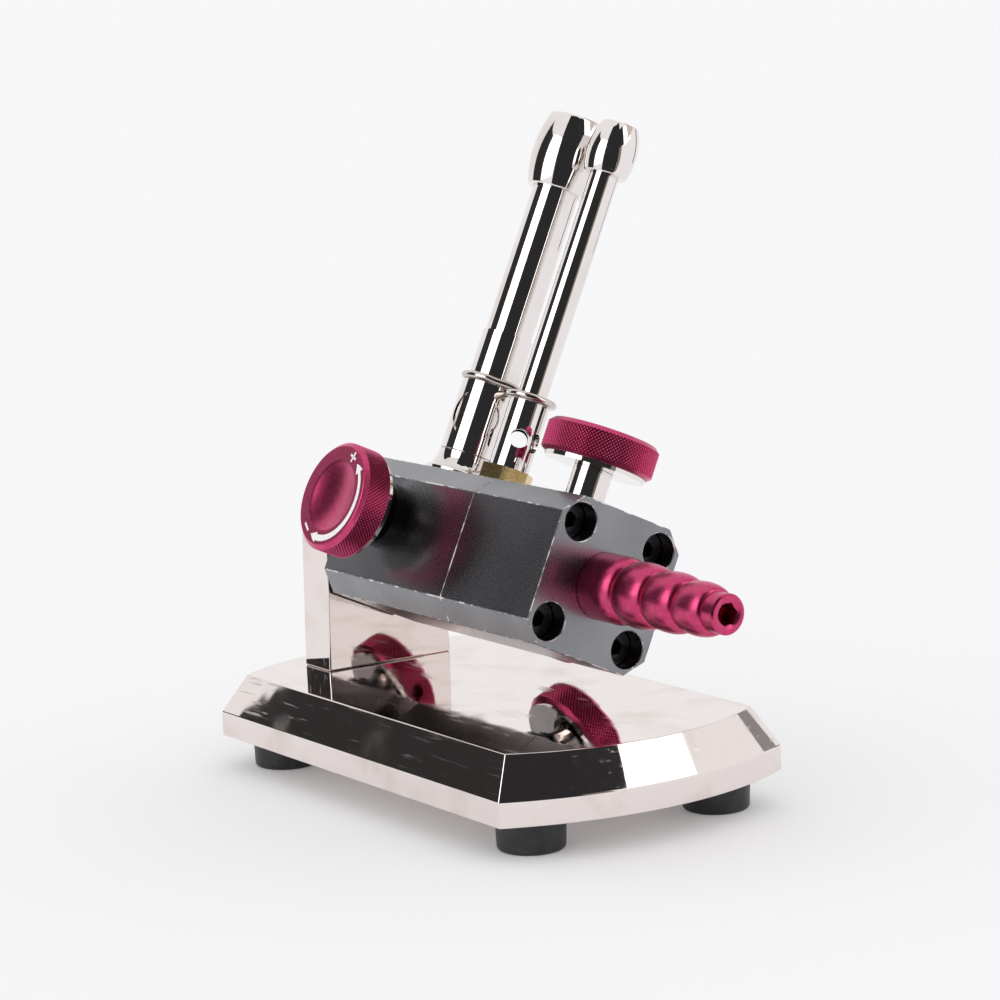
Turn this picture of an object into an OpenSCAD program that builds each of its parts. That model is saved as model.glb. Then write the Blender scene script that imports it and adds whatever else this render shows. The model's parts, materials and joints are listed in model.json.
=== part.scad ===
// Bench gas burner with two tubes: a main burner and a pilot stand on one valve bar,
// and the bar tilts about a friction pivot on a weighted base.
// All sizes are in millimetres. +X runs from the pivot to the hose barb and +Z is up.
// The origin is on the bench, at the middle of the whole burner's outline.

/* [Base] */
// Length of the straight sides of the base's top
base_straight = 96; // [88:0.5:110]
// Width of the base's top
base_top_w = 58.6; // [54:0.2:66]
// Bulge of each rounded end beyond the straight sides
base_bulge = 8.7; // [6:0.1:11]
// How far the bevel runs outward at each end
bevel_run_x = 3.75; // [2:0.05:5]
// How far the bevel runs outward at each side
bevel_run_y = 4.45; // [2:0.05:6]
// Height of the bevel
bevel_drop = 7.9; // [5:0.1:9]
// Thickness of the base
base_t = 13; // [12:0.1:16]
// Height of the feet below the base
foot_h = 6.9; // [5:0.1:9]
// Diameter of a foot where it meets the base
foot_d = 13.8; // [12:0.1:16]
// Distance of the feet from the middle plane
foot_y = 22.2; // [16:0.1:24]
// Distance of the feet from the ends of the straight sides
foot_inset = 2.7; // [2:0.1:12]

/* [Post] */
// Width of the post where it stands on the base
post_w = 30.4; // [28:0.1:34]
// Thickness of the post
post_t = 10; // [9.6:0.1:11]
// Height of the pivot above the base's top
pivot_h = 26.9; // [26.9:0.1:34]
// Lean of the burner away from upright
lean = 24.6; // [0:0.1:26]

/* [Valve bar] */
// Width and height of the bar
bar_w = 30; // [29.6:0.1:32]
// Size of the chamfer along the bar's edges
bar_chamfer = 4; // [3:0.1:5]
// Where the bar begins
bar_x = 14.9; // [14.9:0.1:15.4]
// Length of the rear block
rear_len = 43.8; // [43.8:0.1:46]
// Length of the front block
front_len = 30.2; // [30:0.1:33]
// Spacing of the four cap screws
screw_spacing = 20; // [19.8:0.1:20.4]

/* [Tubes] */
// Station of the main tube and its valve
main_x = 30.8; // [30.6:0.1:31.4]
// Station of the pilot tube and its valve
pilot_x = 45.9; // [45.6:0.1:46.4]
// Outside diameter of the main tube
main_tube_d = 9.8; // [9.8:0.1:9.9]
// Outside diameter of the pilot tube
pilot_tube_d = 6.08; // [6:0.02:6.1]
// Height of the main cup's mouth above the pivot
main_top = 94.1; // [92:0.1:110]
// Height of the pilot cup's mouth above the pivot
pilot_top = 93.5; // [92:0.1:110]

/* [Valves] */
// Diameter of the knobs
knob_d = 22.9; // [21:0.1:23.2]
// Thickness of the knobs
knob_t = 6.7; // [6.4:0.1:7.4]
// Distance of the main knob's back from the bar's axis
main_knob_s = 22.1; // [21.8:0.1:24]
// Distance of the pilot knob's back from the bar's axis
pilot_knob_s = 22.9; // [21.8:0.1:24]
// Distance of the stop knob's back from the bar's axis
stop_knob_s = 23; // [22:0.1:25]
// Station of the stop valve
stop_x = 73.8; // [73.4:0.1:74.2]
// Height of the main valve above the bar's axis
main_valve_z = 2.6; // [2:0.1:2.8]
// Height of the pilot valve above the bar's axis
pilot_valve_z = -2.6; // [-2.8:0.1:-2]

/* [Hose barb] */
// Length of the barb beyond the bar
barb_len = 38.6; // [38:0.1:42]
// Radius of the plain tip
barb_tip_r = 3.9; // [3.7:0.05:4]

/* [Hidden] */

$fn = 64;
// Radial play of a running fit, and of a thread or press fit that stays put
run_gap = 0.05;
seat_gap = 0.03;
// A cut runs this far past the face that it leaves
past = 0.5;

// Heights of the stand
base_bottom = foot_h;
base_top = foot_h + base_t;
pivot_z = base_top + pivot_h;
band_h = base_t - bevel_drop;

// Stations along the pivot, from the back of the post to the bar
post_x = 0.4;
post_front = post_x + post_t;
nest_depth = 3;
nest_x = post_x + nest_depth;
bush_flange_t = 1;
washer_t = 1;
spacer_x = post_front + bush_flange_t + washer_t + run_gap;
seam_x = bar_x + rear_len;
face_x = seam_x + front_len;
tip_x = face_x + barb_len;

// Pivot radii
shaft_r = 4;
bush_r = 6;
nest_r = 10.2;
nut_af = 13;
nut_t = 6.45;

// Valve bores, measured outward from the bar's axis
half_bar = bar_w / 2;
seat_r = 1.1;
seat_s = 3.2;
chamber_r = 3;
chamber_s = 8.5;
gland_r = 5;
spindle_r = 2.5;
stem_r = 4;
skirt_t = 0.9;
gallery_r = 1.5;
gallery_y = 6;
pocket_r = 8.2;
pocket_t = 1.5;

// Cap screws
screw_head_r = 3.5;
screw_head_h = 4;
screw_well_r = 3.7;
screw_well = 8;
screw_r = 2;
screw_len = 30;
screw_tap = 8.3;

// Main burner heights above the pivot
main_tube_r = main_tube_d / 2;
main_wall = 1;
main_flange_top = 20.2;
main_hole_z = 28.2;
main_collar_top = 35.4;
main_sleeve_top = 46.5;
main_cup_z = main_top - 15.6;
main_tube_end = main_cup_z + 5.5;
main_air_dir = -51;

// Pilot burner heights above the pivot
pilot_tube_r = pilot_tube_d / 2;
pilot_wall = 0.74;
pilot_hex_top = 19;
pilot_hole_z = 25.4;
pilot_collar_top = 33.3;
pilot_cup_z = pilot_top - 10.9;
pilot_tube_end = pilot_cup_z + 3.4;
pilot_air_dir = -33;

// The origin's place: the middle of the whole burner's outline
cup_lip_r = 6.1;
outline_x = [-base_bulge - bevel_run_x, tip_x];
outline_y = [
    -base_top_w / 2 - bevel_run_y,
    cup_lip_r * cos(lean) + main_top * sin(lean)
];
origin_x = (outline_x[0] + outline_x[1]) / 2;
origin_y = (outline_y[0] + outline_y[1]) / 2;

// ---------- shared shapes ----------

function arc(cx, cy, r, from, to, steps = 12) = [
    for (i = [0:steps])
        let (a = from + (to - from) * i / steps)
        [cx + r * cos(a), cy + r * sin(a)]
];

// A barrel's side from bottom to top: an arc through three radii
function barrel(z0, r0, z1, r1, swell, steps = 16) = [
    for (i = [0:steps])
        let (t = i / steps)
        [r0 + (r1 - r0) * t + swell * 4 * t * (1 - t), z0 + (z1 - z0) * t]
];

// One end of the base: an arc over the straight sides' ends
function base_end(half, x, steps = 40) =
    let (r = (half * half + base_bulge * base_bulge) / (2 * base_bulge))
    arc(x + base_bulge - r, 0, r, -asin(half / r), asin(half / r), steps);

module base_outline(half, x0, x1) {
    front = base_end(half, x1);
    polygon(concat(front, [for (p = front) [x0 + x1 - p[0], -p[1]]]));
}

module stand() {
    translate([-origin_x, -origin_y, 0]) children();
}

module head() {
    stand() translate([0, 0, pivot_z]) rotate([-lean, 0, 0]) children();
}

// Turns a shape built along +Z so that it runs along +X
module along_x(x = 0) {
    translate([x, 0, 0]) rotate([0, 90, 0]) children();
}

module tube(r_out, r_in, h) {
    difference() {
        cylinder(r = r_out, h = h);
        translate([0, 0, -past]) cylinder(r = r_in, h = h + 2 * past);
    }
}

module hex_prism(flats, h) {
    cylinder(r = flats / sqrt(3), h = h, $fn = 6);
}

// A ring of round section
module o_ring(mid_r, section_r) {
    rotate_extrude() translate([mid_r, 0]) circle(r = section_r, $fn = 32);
}

module bar_profile() {
    h = half_bar;
    c = bar_w / 2 - bar_chamfer;
    polygon([[h, -c], [h, c], [c, h], [-c, h], [-h, c], [-h, -c], [-c, -h], [c, -h]]);
}

module bar_block(x, len) {
    translate([x, 0, 0]) rotate([90, 0, 90]) linear_extrude(len) bar_profile();
}

module at_screws() {
    for (y = [-1, 1], z = [-1, 1])
        translate([0, y * screw_spacing / 2, z * screw_spacing / 2]) children();
}

module at_feet() {
    for (x = [foot_inset, base_straight - foot_inset], y = [-foot_y, foot_y])
        translate([x, y, 0]) children();
}

// ---------- stand ----------

module base_plate() {
    half = base_top_w / 2;
    sheet = 0.01;
    color([0.82, 0.80, 0.78]) stand() difference() {
        union() {
            translate([0, 0, base_bottom]) linear_extrude(band_h)
                base_outline(half + bevel_run_y, -bevel_run_x, base_straight + bevel_run_x);
            hull() {
                translate([0, 0, base_bottom + band_h - sheet]) linear_extrude(sheet)
                    base_outline(half + bevel_run_y, -bevel_run_x, base_straight + bevel_run_x);
                translate([0, 0, base_top - sheet]) linear_extrude(sheet)
                    base_outline(half, 0, base_straight);
            }
        }
        at_feet() translate([0, 0, base_bottom - past])
            cylinder(r = foot_screw_r + seat_gap, h = foot_tap + past);
        at_post_screws() translate([0, 0, base_bottom - past]) {
            cylinder(r = post_screw_r + 0.25, h = base_t + 2 * past);
            cylinder(r = post_head_r + 0.3, h = post_well + past);
        }
    }
}

// Screws of the stand
foot_screw_r = 2;
foot_tap = 8;
foot_head_r = 3.6;
foot_head_h = 2.4;
foot_well = 3;
post_screw_r = 2.5;
post_head_r = 4.25;
post_head_h = 5;
post_well = 5.4;
post_tap = 9.4;
post_screw_y = 8;

module at_post_screws() {
    for (y = [-post_screw_y, post_screw_y])
        translate([post_x + post_t / 2, y, 0]) children();
}

module pivot_post() {
    crown = post_w / 2 - 0.5;
    color([0.80, 0.79, 0.77]) stand() difference() {
        translate([post_x, 0, 0]) rotate([90, 0, 90]) linear_extrude(post_t) union() {
            translate([0, pivot_z]) circle(r = crown, $fn = 96);
            polygon([
                [-post_w / 2, base_top], [post_w / 2, base_top],
                [crown, pivot_z], [-crown, pivot_z]
            ]);
        }
        translate([0, 0, pivot_z]) {
            along_x(post_x - past) cylinder(r = bush_r, h = post_t + 2 * past);
            along_x(post_x - past) cylinder(r = nest_r, h = nest_depth + past);
        }
        at_post_screws() translate([0, 0, base_top - past])
            cylinder(r = post_screw_r + seat_gap, h = post_tap + past);
    }
}

module cap_screw(head_r, head_h, shank_r, shank_len, key) {
    difference() {
        union() {
            translate([0, 0, -head_h]) cylinder(r = head_r, h = head_h);
            cylinder(r = shank_r, h = shank_len);
        }
        translate([0, 0, -head_h - past]) hex_prism(key, head_h / 2 + past);
    }
}

module post_screws() {
    color([0.2, 0.2, 0.22]) stand() at_post_screws()
        translate([0, 0, base_bottom + post_well])
            cap_screw(post_head_r, post_head_h, post_screw_r, 16, 4);
}

module rubber_feet() {
    color([0.07, 0.07, 0.07]) stand() at_feet() difference() {
        rotate_extrude() polygon([
            [0, 0], [foot_d / 2 - 1.2, 0], [foot_d / 2 - 0.6, 0.6], [foot_d / 2, foot_h], [0, foot_h]
        ]);
        translate([0, 0, -past]) cylinder(r = foot_screw_r + 0.2, h = foot_h + 2 * past);
        translate([0, 0, -past]) cylinder(r = foot_head_r + 0.4, h = foot_well + past);
    }
}

module foot_screws() {
    color([0.75, 0.75, 0.76]) stand() at_feet() translate([0, 0, foot_well])
        cap_screw(foot_head_r, foot_head_h, foot_screw_r, 9, 2.5);
}

module pivot_bush() {
    color([0.72, 0.58, 0.30]) stand() translate([0, 0, pivot_z]) difference() {
        union() {
            along_x(nest_x) cylinder(r = bush_r - seat_gap, h = post_front - nest_x);
            along_x(post_front) cylinder(r = 9, h = bush_flange_t);
        }
        along_x(nest_x - past) cylinder(r = shaft_r + run_gap, h = post_t + 2 * past);
    }
}

module friction_washer() {
    color([0.25, 0.16, 0.12]) stand() translate([0, 0, pivot_z])
        along_x(post_front + bush_flange_t) tube(10, shaft_r + run_gap, washer_t);
}

// ---------- pivot, moving side ----------

module pivot_spacer() {
    color([0.75, 0.75, 0.76]) head() along_x(spacer_x)
        tube(12, shaft_r + seat_gap, bar_x - spacer_x);
}

shaft_back = -5;
shaft_grip = 11.6;

module pivot_shaft() {
    color([0.70, 0.70, 0.72]) head() along_x(shaft_back) rotate_extrude() polygon([
        [0, 0], [shaft_r - 0.6, 0], [shaft_r, 0.6],
        [shaft_r, bar_x + shaft_grip - shaft_back - 0.6],
        [shaft_r - 0.6, bar_x + shaft_grip - shaft_back], [0, bar_x + shaft_grip - shaft_back]
    ]);
}

spring_washer_t = 1.15;

module spring_washer() {
    color([0.55, 0.55, 0.56]) head() along_x(nest_x - run_gap - spring_washer_t)
        tube(8, shaft_r + seat_gap, spring_washer_t);
}

module lock_nut() {
    color([0.62, 0.62, 0.64]) head()
        along_x(nest_x - run_gap - spring_washer_t - nut_t) difference() {
            union() {
                hex_prism(nut_af, nut_t);
                cylinder(r = 5.4, h = nut_t);
            }
            translate([0, 0, -past]) cylinder(r = shaft_r + seat_gap, h = nut_t + 2 * past);
        }
}

// ---------- valve bar ----------

// Puts a valve built along +Z at its station on the bar
module main_side() {
    head() translate([main_x, 0, main_valve_z]) rotate([90, 0, 0]) children();
}

module pilot_side() {
    head() translate([pilot_x, 0, pilot_valve_z]) rotate([-90, 0, 0]) children();
}

module stop_side() {
    head() translate([stop_x, 0, 0]) children();
}

// The stepped bore that a valve works in
module valve_bore() {
    translate([0, 0, -seat_r]) cylinder(r = seat_r, h = seat_s + seat_r + past);
    translate([0, 0, seat_s]) cylinder(r = chamber_r, h = chamber_s - seat_s + past);
    translate([0, 0, chamber_s]) cylinder(r = gland_r, h = half_bar - chamber_s + past);
}

main_stub_r = 6.4;
main_stub = 3.5;
main_jet_r = 2.5;
main_jet_z = 8;
pilot_stub_r = 4;
pilot_stub = 5;
riser_r = 1.2;
block_seal_r = [9.3, 11.1];
block_seal_t = 1.2;

module rear_block() {
    color([0.24, 0.24, 0.26]) head() difference() {
        bar_block(bar_x, rear_len);
        along_x(bar_x - past) cylinder(r = shaft_r + seat_gap, h = shaft_grip + 0.4 + past);
        at_screws() along_x(seam_x - screw_tap)
            cylinder(r = screw_r + seat_gap, h = screw_tap + past);
        along_x(seam_x - block_seal_t)
            tube(block_seal_r[1] + 0.1, block_seal_r[0] - 0.1, block_seal_t + past);
        translate([main_x, 0, main_valve_z]) rotate([90, 0, 0]) valve_bore();
        translate([pilot_x, 0, pilot_valve_z]) rotate([-90, 0, 0]) valve_bore();
        translate([0, -gallery_y, main_valve_z]) along_x(main_x)
            cylinder(r = gallery_r, h = seam_x - main_x + past);
        translate([0, gallery_y, pilot_valve_z]) along_x(pilot_x)
            cylinder(r = gallery_r, h = seam_x - pilot_x + past);
        translate([main_x, 0, 0]) {
            translate([0, 0, main_valve_z]) cylinder(r = riser_r, h = half_bar);
            translate([0, 0, main_jet_z]) cylinder(r = main_jet_r + seat_gap, h = half_bar);
            translate([0, 0, half_bar - main_stub])
                cylinder(r = main_stub_r + seat_gap, h = main_stub + past);
        }
        translate([pilot_x, 0, 0]) {
            translate([0, 0, pilot_valve_z]) cylinder(r = riser_r, h = half_bar);
            translate([0, 0, half_bar - pilot_stub])
                cylinder(r = pilot_stub_r + seat_gap, h = pilot_stub + past);
        }
    }
}

barb_stub_r = 5;
barb_stub = 10;
barb_seal_mid = 5.85;
barb_seal_section = 0.45;
outlet_z = 6;

module front_block() {
    color([0.26, 0.26, 0.28]) head() difference() {
        bar_block(seam_x, front_len);
        at_screws() along_x(seam_x - past) cylinder(r = screw_r + 0.2, h = front_len + 2 * past);
        at_screws() along_x(face_x - screw_well) cylinder(r = screw_well_r, h = screw_well + past);
        translate([stop_x, 0, 0]) valve_bore();
        along_x(seam_x - past) cylinder(r = pocket_r, h = pocket_t + past);
        translate([0, 0, outlet_z]) along_x(seam_x - past)
            cylinder(r = gallery_r, h = stop_x - seam_x + past);
        along_x(stop_x) cylinder(r = gallery_r, h = front_len / 2);
        along_x(face_x - barb_stub - 0.4)
            cylinder(r = barb_stub_r + seat_gap, h = barb_stub + 0.4 + past);
        along_x(face_x - 2 * barb_seal_section)
            tube(
                barb_seal_mid + barb_seal_section + seat_gap,
                barb_seal_mid - barb_seal_section - seat_gap,
                2 * barb_seal_section + past
            );
    }
}

module block_seal() {
    color([0.08, 0.08, 0.08]) head() along_x(seam_x - block_seal_t)
        tube(block_seal_r[1], block_seal_r[0], block_seal_t);
}

module cap_screws() {
    color([0.10, 0.10, 0.10]) head() at_screws() translate([face_x - screw_well, 0, 0])
        rotate([0, -90, 0]) cap_screw(screw_head_r, screw_head_h, screw_r, screw_len, 3);
}

module barb_seal() {
    color([0.08, 0.08, 0.08]) head() along_x(face_x - barb_seal_section)
        o_ring(barb_seal_mid, barb_seal_section);
}

// Hose barb: [station of the crest, radius of the crest, station of the groove behind, its radius]
barb_base_r = 6.65;
barb_base = 6;
barb_ridges = [
    [13.2, 6.4, 9.4, 5.2],
    [22.9, 5.86, 18.1, 4.9],
    [31, 5.2, 27, 4.3]
];
barb_tip_start = 35;
barb_bore_r = 1.5;
barb_key = 4;

// A quarter of a ridge between a crest and a groove
function swell(x_crest, r_crest, x_groove, r_groove, steps = 8) = [
    for (i = [0:steps])
        let (a = 90 * i / steps)
        [r_groove + (r_crest - r_groove) * cos(a), x_crest + (x_groove - x_crest) * sin(a)]
];

function reversed(list) = [for (i = [len(list) - 1:-1:0]) list[i]];

module hose_barb() {
    last = barb_ridges[len(barb_ridges) - 1];
    rises = [for (b = barb_ridges) reversed(swell(b[0], b[1], b[2], b[3]))];
    outline = concat(
        [[barb_bore_r, -barb_stub], [barb_stub_r - 0.6, -barb_stub], [barb_stub_r, 0.6 - barb_stub]],
        [[barb_stub_r, 0], [barb_base_r, 0]],
        swell(barb_base, barb_base_r, barb_ridges[0][2], barb_ridges[0][3]),
        rises[0],
        swell(barb_ridges[0][0], barb_ridges[0][1], barb_ridges[1][2], barb_ridges[1][3]),
        rises[1],
        swell(barb_ridges[1][0], barb_ridges[1][1], barb_ridges[2][2], barb_ridges[2][3]),
        rises[2],
        [[last[1] - 0.15, last[0] + 1], [barb_tip_r, barb_tip_start], [barb_tip_r, barb_len - 0.3]],
        [[barb_tip_r - 0.3, barb_len], [barb_bore_r, barb_len]]
    );
    color([0.80, 0.10, 0.33]) head() along_x(face_x) difference() {
        rotate_extrude() polygon(outline);
        translate([0, 0, barb_len - 5]) hex_prism(barb_key, 5 + past);
        translate([0, 0, barb_len - 0.6])
            cylinder(r1 = barb_key / 2, r2 = barb_key / 2 + 0.6, h = 0.61);
    }
}

// ---------- valves ----------

gland_start = chamber_s + 0.1;
seal_pocket_r = 4.3;
seal_pocket = 2;
seal_mid = 3.36;
seal_section = 0.82;

// Gland nut: screwed into the bar, with a flange and a neck outside it
module gland(flange_r, flange_t, neck_r, neck_t) {
    difference() {
        union() {
            translate([0, 0, gland_start]) cylinder(r = gland_r - seat_gap, h = half_bar - gland_start);
            if (flange_t > 0)
                translate([0, 0, half_bar]) cylinder(r = flange_r, h = flange_t);
            if (neck_t > 0)
                translate([0, 0, half_bar + flange_t]) cylinder(r = neck_r, h = neck_t);
        }
        translate([0, 0, gland_start - past]) {
            cylinder(r = spindle_r + run_gap, h = half_bar);
            cylinder(r = seal_pocket_r, h = seal_pocket + past);
        }
    }
}

module gland_seal() {
    translate([0, 0, gland_start + seal_pocket / 2]) o_ring(seal_mid, seal_section);
}

// Needle, journal, stem and the end that the knob sits on, turned from one rod
module spindle(knob_s, stem_s) {
    rotate_extrude() polygon([
        [0, 0.8], [0.25, 0.8], [seat_r - run_gap, seat_s], [spindle_r, 5.6],
        [spindle_r, stem_s], [stem_r, stem_s], [stem_r, knob_s - skirt_t - run_gap],
        [spindle_r, knob_s - skirt_t - run_gap], [spindle_r, knob_s + 4.4], [0, knob_s + 4.4]
    ]);
}

module skirt(knob_s) {
    translate([0, 0, knob_s - skirt_t])
        tube(knob_d / 2 - 1.15, spindle_r + run_gap, skirt_t - run_gap);
}

set_screw_r = 1.5;
set_screw_s = 2.4;

module knob(knob_s) {
    r = knob_d / 2;
    dish_r = 7.4;
    dish_deep = 1.4;
    bow = (dish_r * dish_r + dish_deep * dish_deep) / (2 * dish_deep);
    sweep = asin(dish_r / bow);
    translate([0, 0, knob_s]) difference() {
        rotate_extrude($fn = 96) polygon(concat(
            [[0, 0], [r - 0.8, 0], [r, 0.7], [r, knob_t - 1], [r - 0.95, knob_t]],
            arc(0, knob_t - dish_deep + bow, bow, sweep - 90, -90)
        ));
        translate([0, 0, -past]) cylinder(r = spindle_r + seat_gap, h = 4.6 + past);
        translate([0, 0, set_screw_s]) rotate([0, -90, 0])
            cylinder(r = set_screw_r + seat_gap, h = knob_d);
    }
}

module set_screw(knob_s) {
    translate([0, 0, knob_s + set_screw_s]) rotate([0, -90, 0]) difference() {
        translate([0, 0, spindle_r + 0.05]) cylinder(r = set_screw_r, h = 4);
        translate([0, 0, spindle_r + 2.5]) hex_prism(1.5, 4);
    }
}

side_stem_s = 20;
stop_stem_s = half_bar + 0.4;

module main_gland() {
    color([0.09, 0.09, 0.10]) main_side() gland(6.8, 2.3, 5.2, 2.3);
}

module main_gland_seal() {
    color([0.08, 0.08, 0.08]) main_side() gland_seal();
}

module main_skirt() {
    color([0.78, 0.78, 0.78]) main_side() skirt(main_knob_s);
}

module main_spindle() {
    color([0.74, 0.74, 0.75]) main_side() spindle(main_knob_s, side_stem_s);
}

module main_knob() {
    color([0.76, 0.09, 0.30]) main_side() knob(main_knob_s);
}

module main_set_screw() {
    color([0.12, 0.12, 0.12]) main_side() set_screw(main_knob_s);
}

module pilot_gland() {
    color([0.09, 0.09, 0.10]) pilot_side() gland(6.8, 2.3, 5.2, 2.3);
}

module pilot_gland_seal() {
    color([0.08, 0.08, 0.08]) pilot_side() gland_seal();
}

module pilot_skirt() {
    color([0.78, 0.78, 0.78]) pilot_side() skirt(pilot_knob_s);
}

module pilot_spindle() {
    color([0.74, 0.74, 0.75]) pilot_side() spindle(pilot_knob_s, side_stem_s);
}

module pilot_knob() {
    color([0.76, 0.09, 0.30]) pilot_side() knob(pilot_knob_s);
}

module pilot_set_screw() {
    color([0.12, 0.12, 0.12]) pilot_side() set_screw(pilot_knob_s);
}

module stop_gland() {
    color([0.74, 0.74, 0.75]) stop_side() gland(0, 0, 0, 0);
}

module stop_gland_seal() {
    color([0.08, 0.08, 0.08]) stop_side() gland_seal();
}

module stop_skirt() {
    color([0.78, 0.78, 0.78]) stop_side() skirt(stop_knob_s);
}

module stop_spindle() {
    color([0.74, 0.74, 0.75]) stop_side() spindle(stop_knob_s, stop_stem_s);
}

module stop_knob() {
    color([0.76, 0.09, 0.30]) stop_side() knob(stop_knob_s);
}

module stop_set_screw() {
    color([0.12, 0.12, 0.12]) stop_side() set_screw(stop_knob_s);
}

// ---------- main burner ----------

module on_main() {
    head() translate([main_x, 0, 0]) children();
}

module main_jet() {
    color([0.75, 0.60, 0.28]) on_main() difference() {
        union() {
            translate([0, 0, main_jet_z + 0.1]) cylinder(r = main_jet_r, h = 4);
            translate([0, 0, half_bar - main_stub + 0.1]) hex_prism(5.5, 2.6);
            translate([0, 0, 14]) cylinder(r1 = 2.2, r2 = 1, h = 4);
        }
        translate([0, 0, main_jet_z - past]) cylinder(r = 0.9, h = 9);
        translate([0, 0, main_jet_z]) cylinder(r = 0.35, h = 12);
    }
}

module main_flange() {
    flare_r = 3.8;
    color([0.80, 0.79, 0.77]) on_main() rotate_extrude() polygon(concat(
        [[4, half_bar - main_stub + 0.05], [main_stub_r, half_bar - main_stub + 0.05]],
        [[main_stub_r, half_bar], [8, half_bar], [8, half_bar + 1.3]],
        [for (i = [0:8]) let (a = 90 * i / 8)
            [6.3 + 1.7 * (1 - sin(a)), half_bar + 1.3 + flare_r * (1 - cos(a))]],
        [[6.3, main_flange_top], [main_tube_r + seat_gap, main_flange_top]],
        [[main_tube_r + seat_gap, half_bar + 1.2], [4, half_bar + 1.2]]
    ));
}

module main_tube() {
    window_r = 3;
    color([0.80, 0.79, 0.77]) on_main() difference() {
        translate([0, 0, half_bar + 1.25])
            tube(main_tube_r, main_tube_r - main_wall, main_tube_end - half_bar - 1.25);
        translate([0, 0, main_hole_z]) rotate([0, 90, main_air_dir + 90])
            translate([0, 0, -main_tube_d]) cylinder(r = window_r, h = 2 * main_tube_d);
    }
}

module main_collar() {
    collar_r = 6.2;
    hole_r = 4.8;
    color([0.80, 0.79, 0.77]) on_main() difference() {
        translate([0, 0, main_flange_top + 0.1])
            tube(collar_r, main_tube_r + run_gap, main_collar_top - main_flange_top - 0.1);
        translate([0, 0, main_hole_z]) rotate([0, 90, main_air_dir])
            cylinder(r = hole_r, h = 2 * collar_r);
    }
}

module main_sleeve() {
    color([0.80, 0.79, 0.77]) on_main() translate([0, 0, main_collar_top + 0.1])
        tube(main_tube_r + 0.45, main_tube_r + seat_gap, main_sleeve_top - main_collar_top - 0.1);
}

module main_cup() {
    color([0.80, 0.79, 0.77]) on_main() rotate_extrude() polygon(concat(
        barrel(main_cup_z, 6.2, main_top, cup_lip_r, 1.25),
        [[5.5, main_top], [5.3, main_tube_end + 0.3], [4.2, main_tube_end + 0.1]],
        [[main_tube_r + seat_gap, main_tube_end + 0.1], [main_tube_r + seat_gap, main_cup_z]]
    ));
}

// ---------- pilot burner ----------

module on_pilot() {
    head() translate([pilot_x, 0, 0]) children();
}

pilot_jet_r = 1.5;

module pilot_adapter() {
    spigot = 1.6;
    color([0.72, 0.58, 0.28]) on_pilot() difference() {
        union() {
            translate([0, 0, half_bar - pilot_stub + 0.05]) cylinder(r = pilot_stub_r, h = pilot_stub);
            translate([0, 0, half_bar]) rotate([0, 0, 12]) hex_prism(9.6, pilot_hex_top - half_bar);
            translate([0, 0, pilot_hex_top - past])
                cylinder(r = pilot_tube_r - pilot_wall - seat_gap, h = spigot + past);
        }
        translate([0, 0, half_bar - pilot_stub - past])
            cylinder(r = pilot_jet_r + seat_gap, h = pilot_stub + 2 * past + half_bar);
    }
}

module pilot_jet() {
    color([0.78, 0.62, 0.28]) on_pilot() difference() {
        union() {
            translate([0, 0, 12]) cylinder(r = pilot_jet_r, h = 10);
            translate([0, 0, 22]) cylinder(r1 = pilot_jet_r, r2 = 0.7, h = 1.8);
        }
        translate([0, 0, 12 - past]) cylinder(r = 0.6, h = 10.5);
        translate([0, 0, 12]) cylinder(r = 0.25, h = 12);
    }
}

module pilot_tube() {
    window_r = 1.9;
    color([0.80, 0.79, 0.77]) on_pilot() difference() {
        translate([0, 0, pilot_hex_top + 0.05])
            tube(pilot_tube_r, pilot_tube_r - pilot_wall, pilot_tube_end - pilot_hex_top - 0.05);
        translate([0, 0, pilot_hole_z]) rotate([0, 90, pilot_air_dir])
            translate([0, 0, -pilot_tube_d]) cylinder(r = window_r, h = 2 * pilot_tube_d);
    }
}

module pilot_collar() {
    collar_r = 4.2;
    hole_r = 2;
    slit_w = 1.5;
    slit_dir = 12;
    h = pilot_collar_top - pilot_hex_top - 0.1;
    color([0.80, 0.79, 0.77]) on_pilot() difference() {
        translate([0, 0, pilot_hex_top + 0.1]) tube(collar_r, pilot_tube_r + run_gap, h);
        translate([0, 0, pilot_hole_z]) rotate([0, 90, pilot_air_dir])
            translate([0, 0, -2 * collar_r]) cylinder(r = hole_r, h = 4 * collar_r);
        translate([0, 0, pilot_hole_z]) rotate([0, 90, slit_dir + 8]) cylinder(r = hole_r, h = 2 * collar_r);
        rotate([0, 0, slit_dir]) translate([0, -slit_w / 2, pilot_hex_top - past])
            cube([2 * collar_r, slit_w, h + 2 * past]);
    }
}

module pilot_cup() {
    color([0.80, 0.79, 0.77]) on_pilot() rotate_extrude() polygon(concat(
        barrel(pilot_cup_z, 4.4, pilot_top, 3.95, 1.05),
        [[3.5, pilot_top], [3.3, pilot_tube_end + 0.2], [2.6, pilot_tube_end + 0.1]],
        [[pilot_tube_r + seat_gap, pilot_tube_end + 0.1], [pilot_tube_r + seat_gap, pilot_cup_z]]
    ));
}

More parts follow.
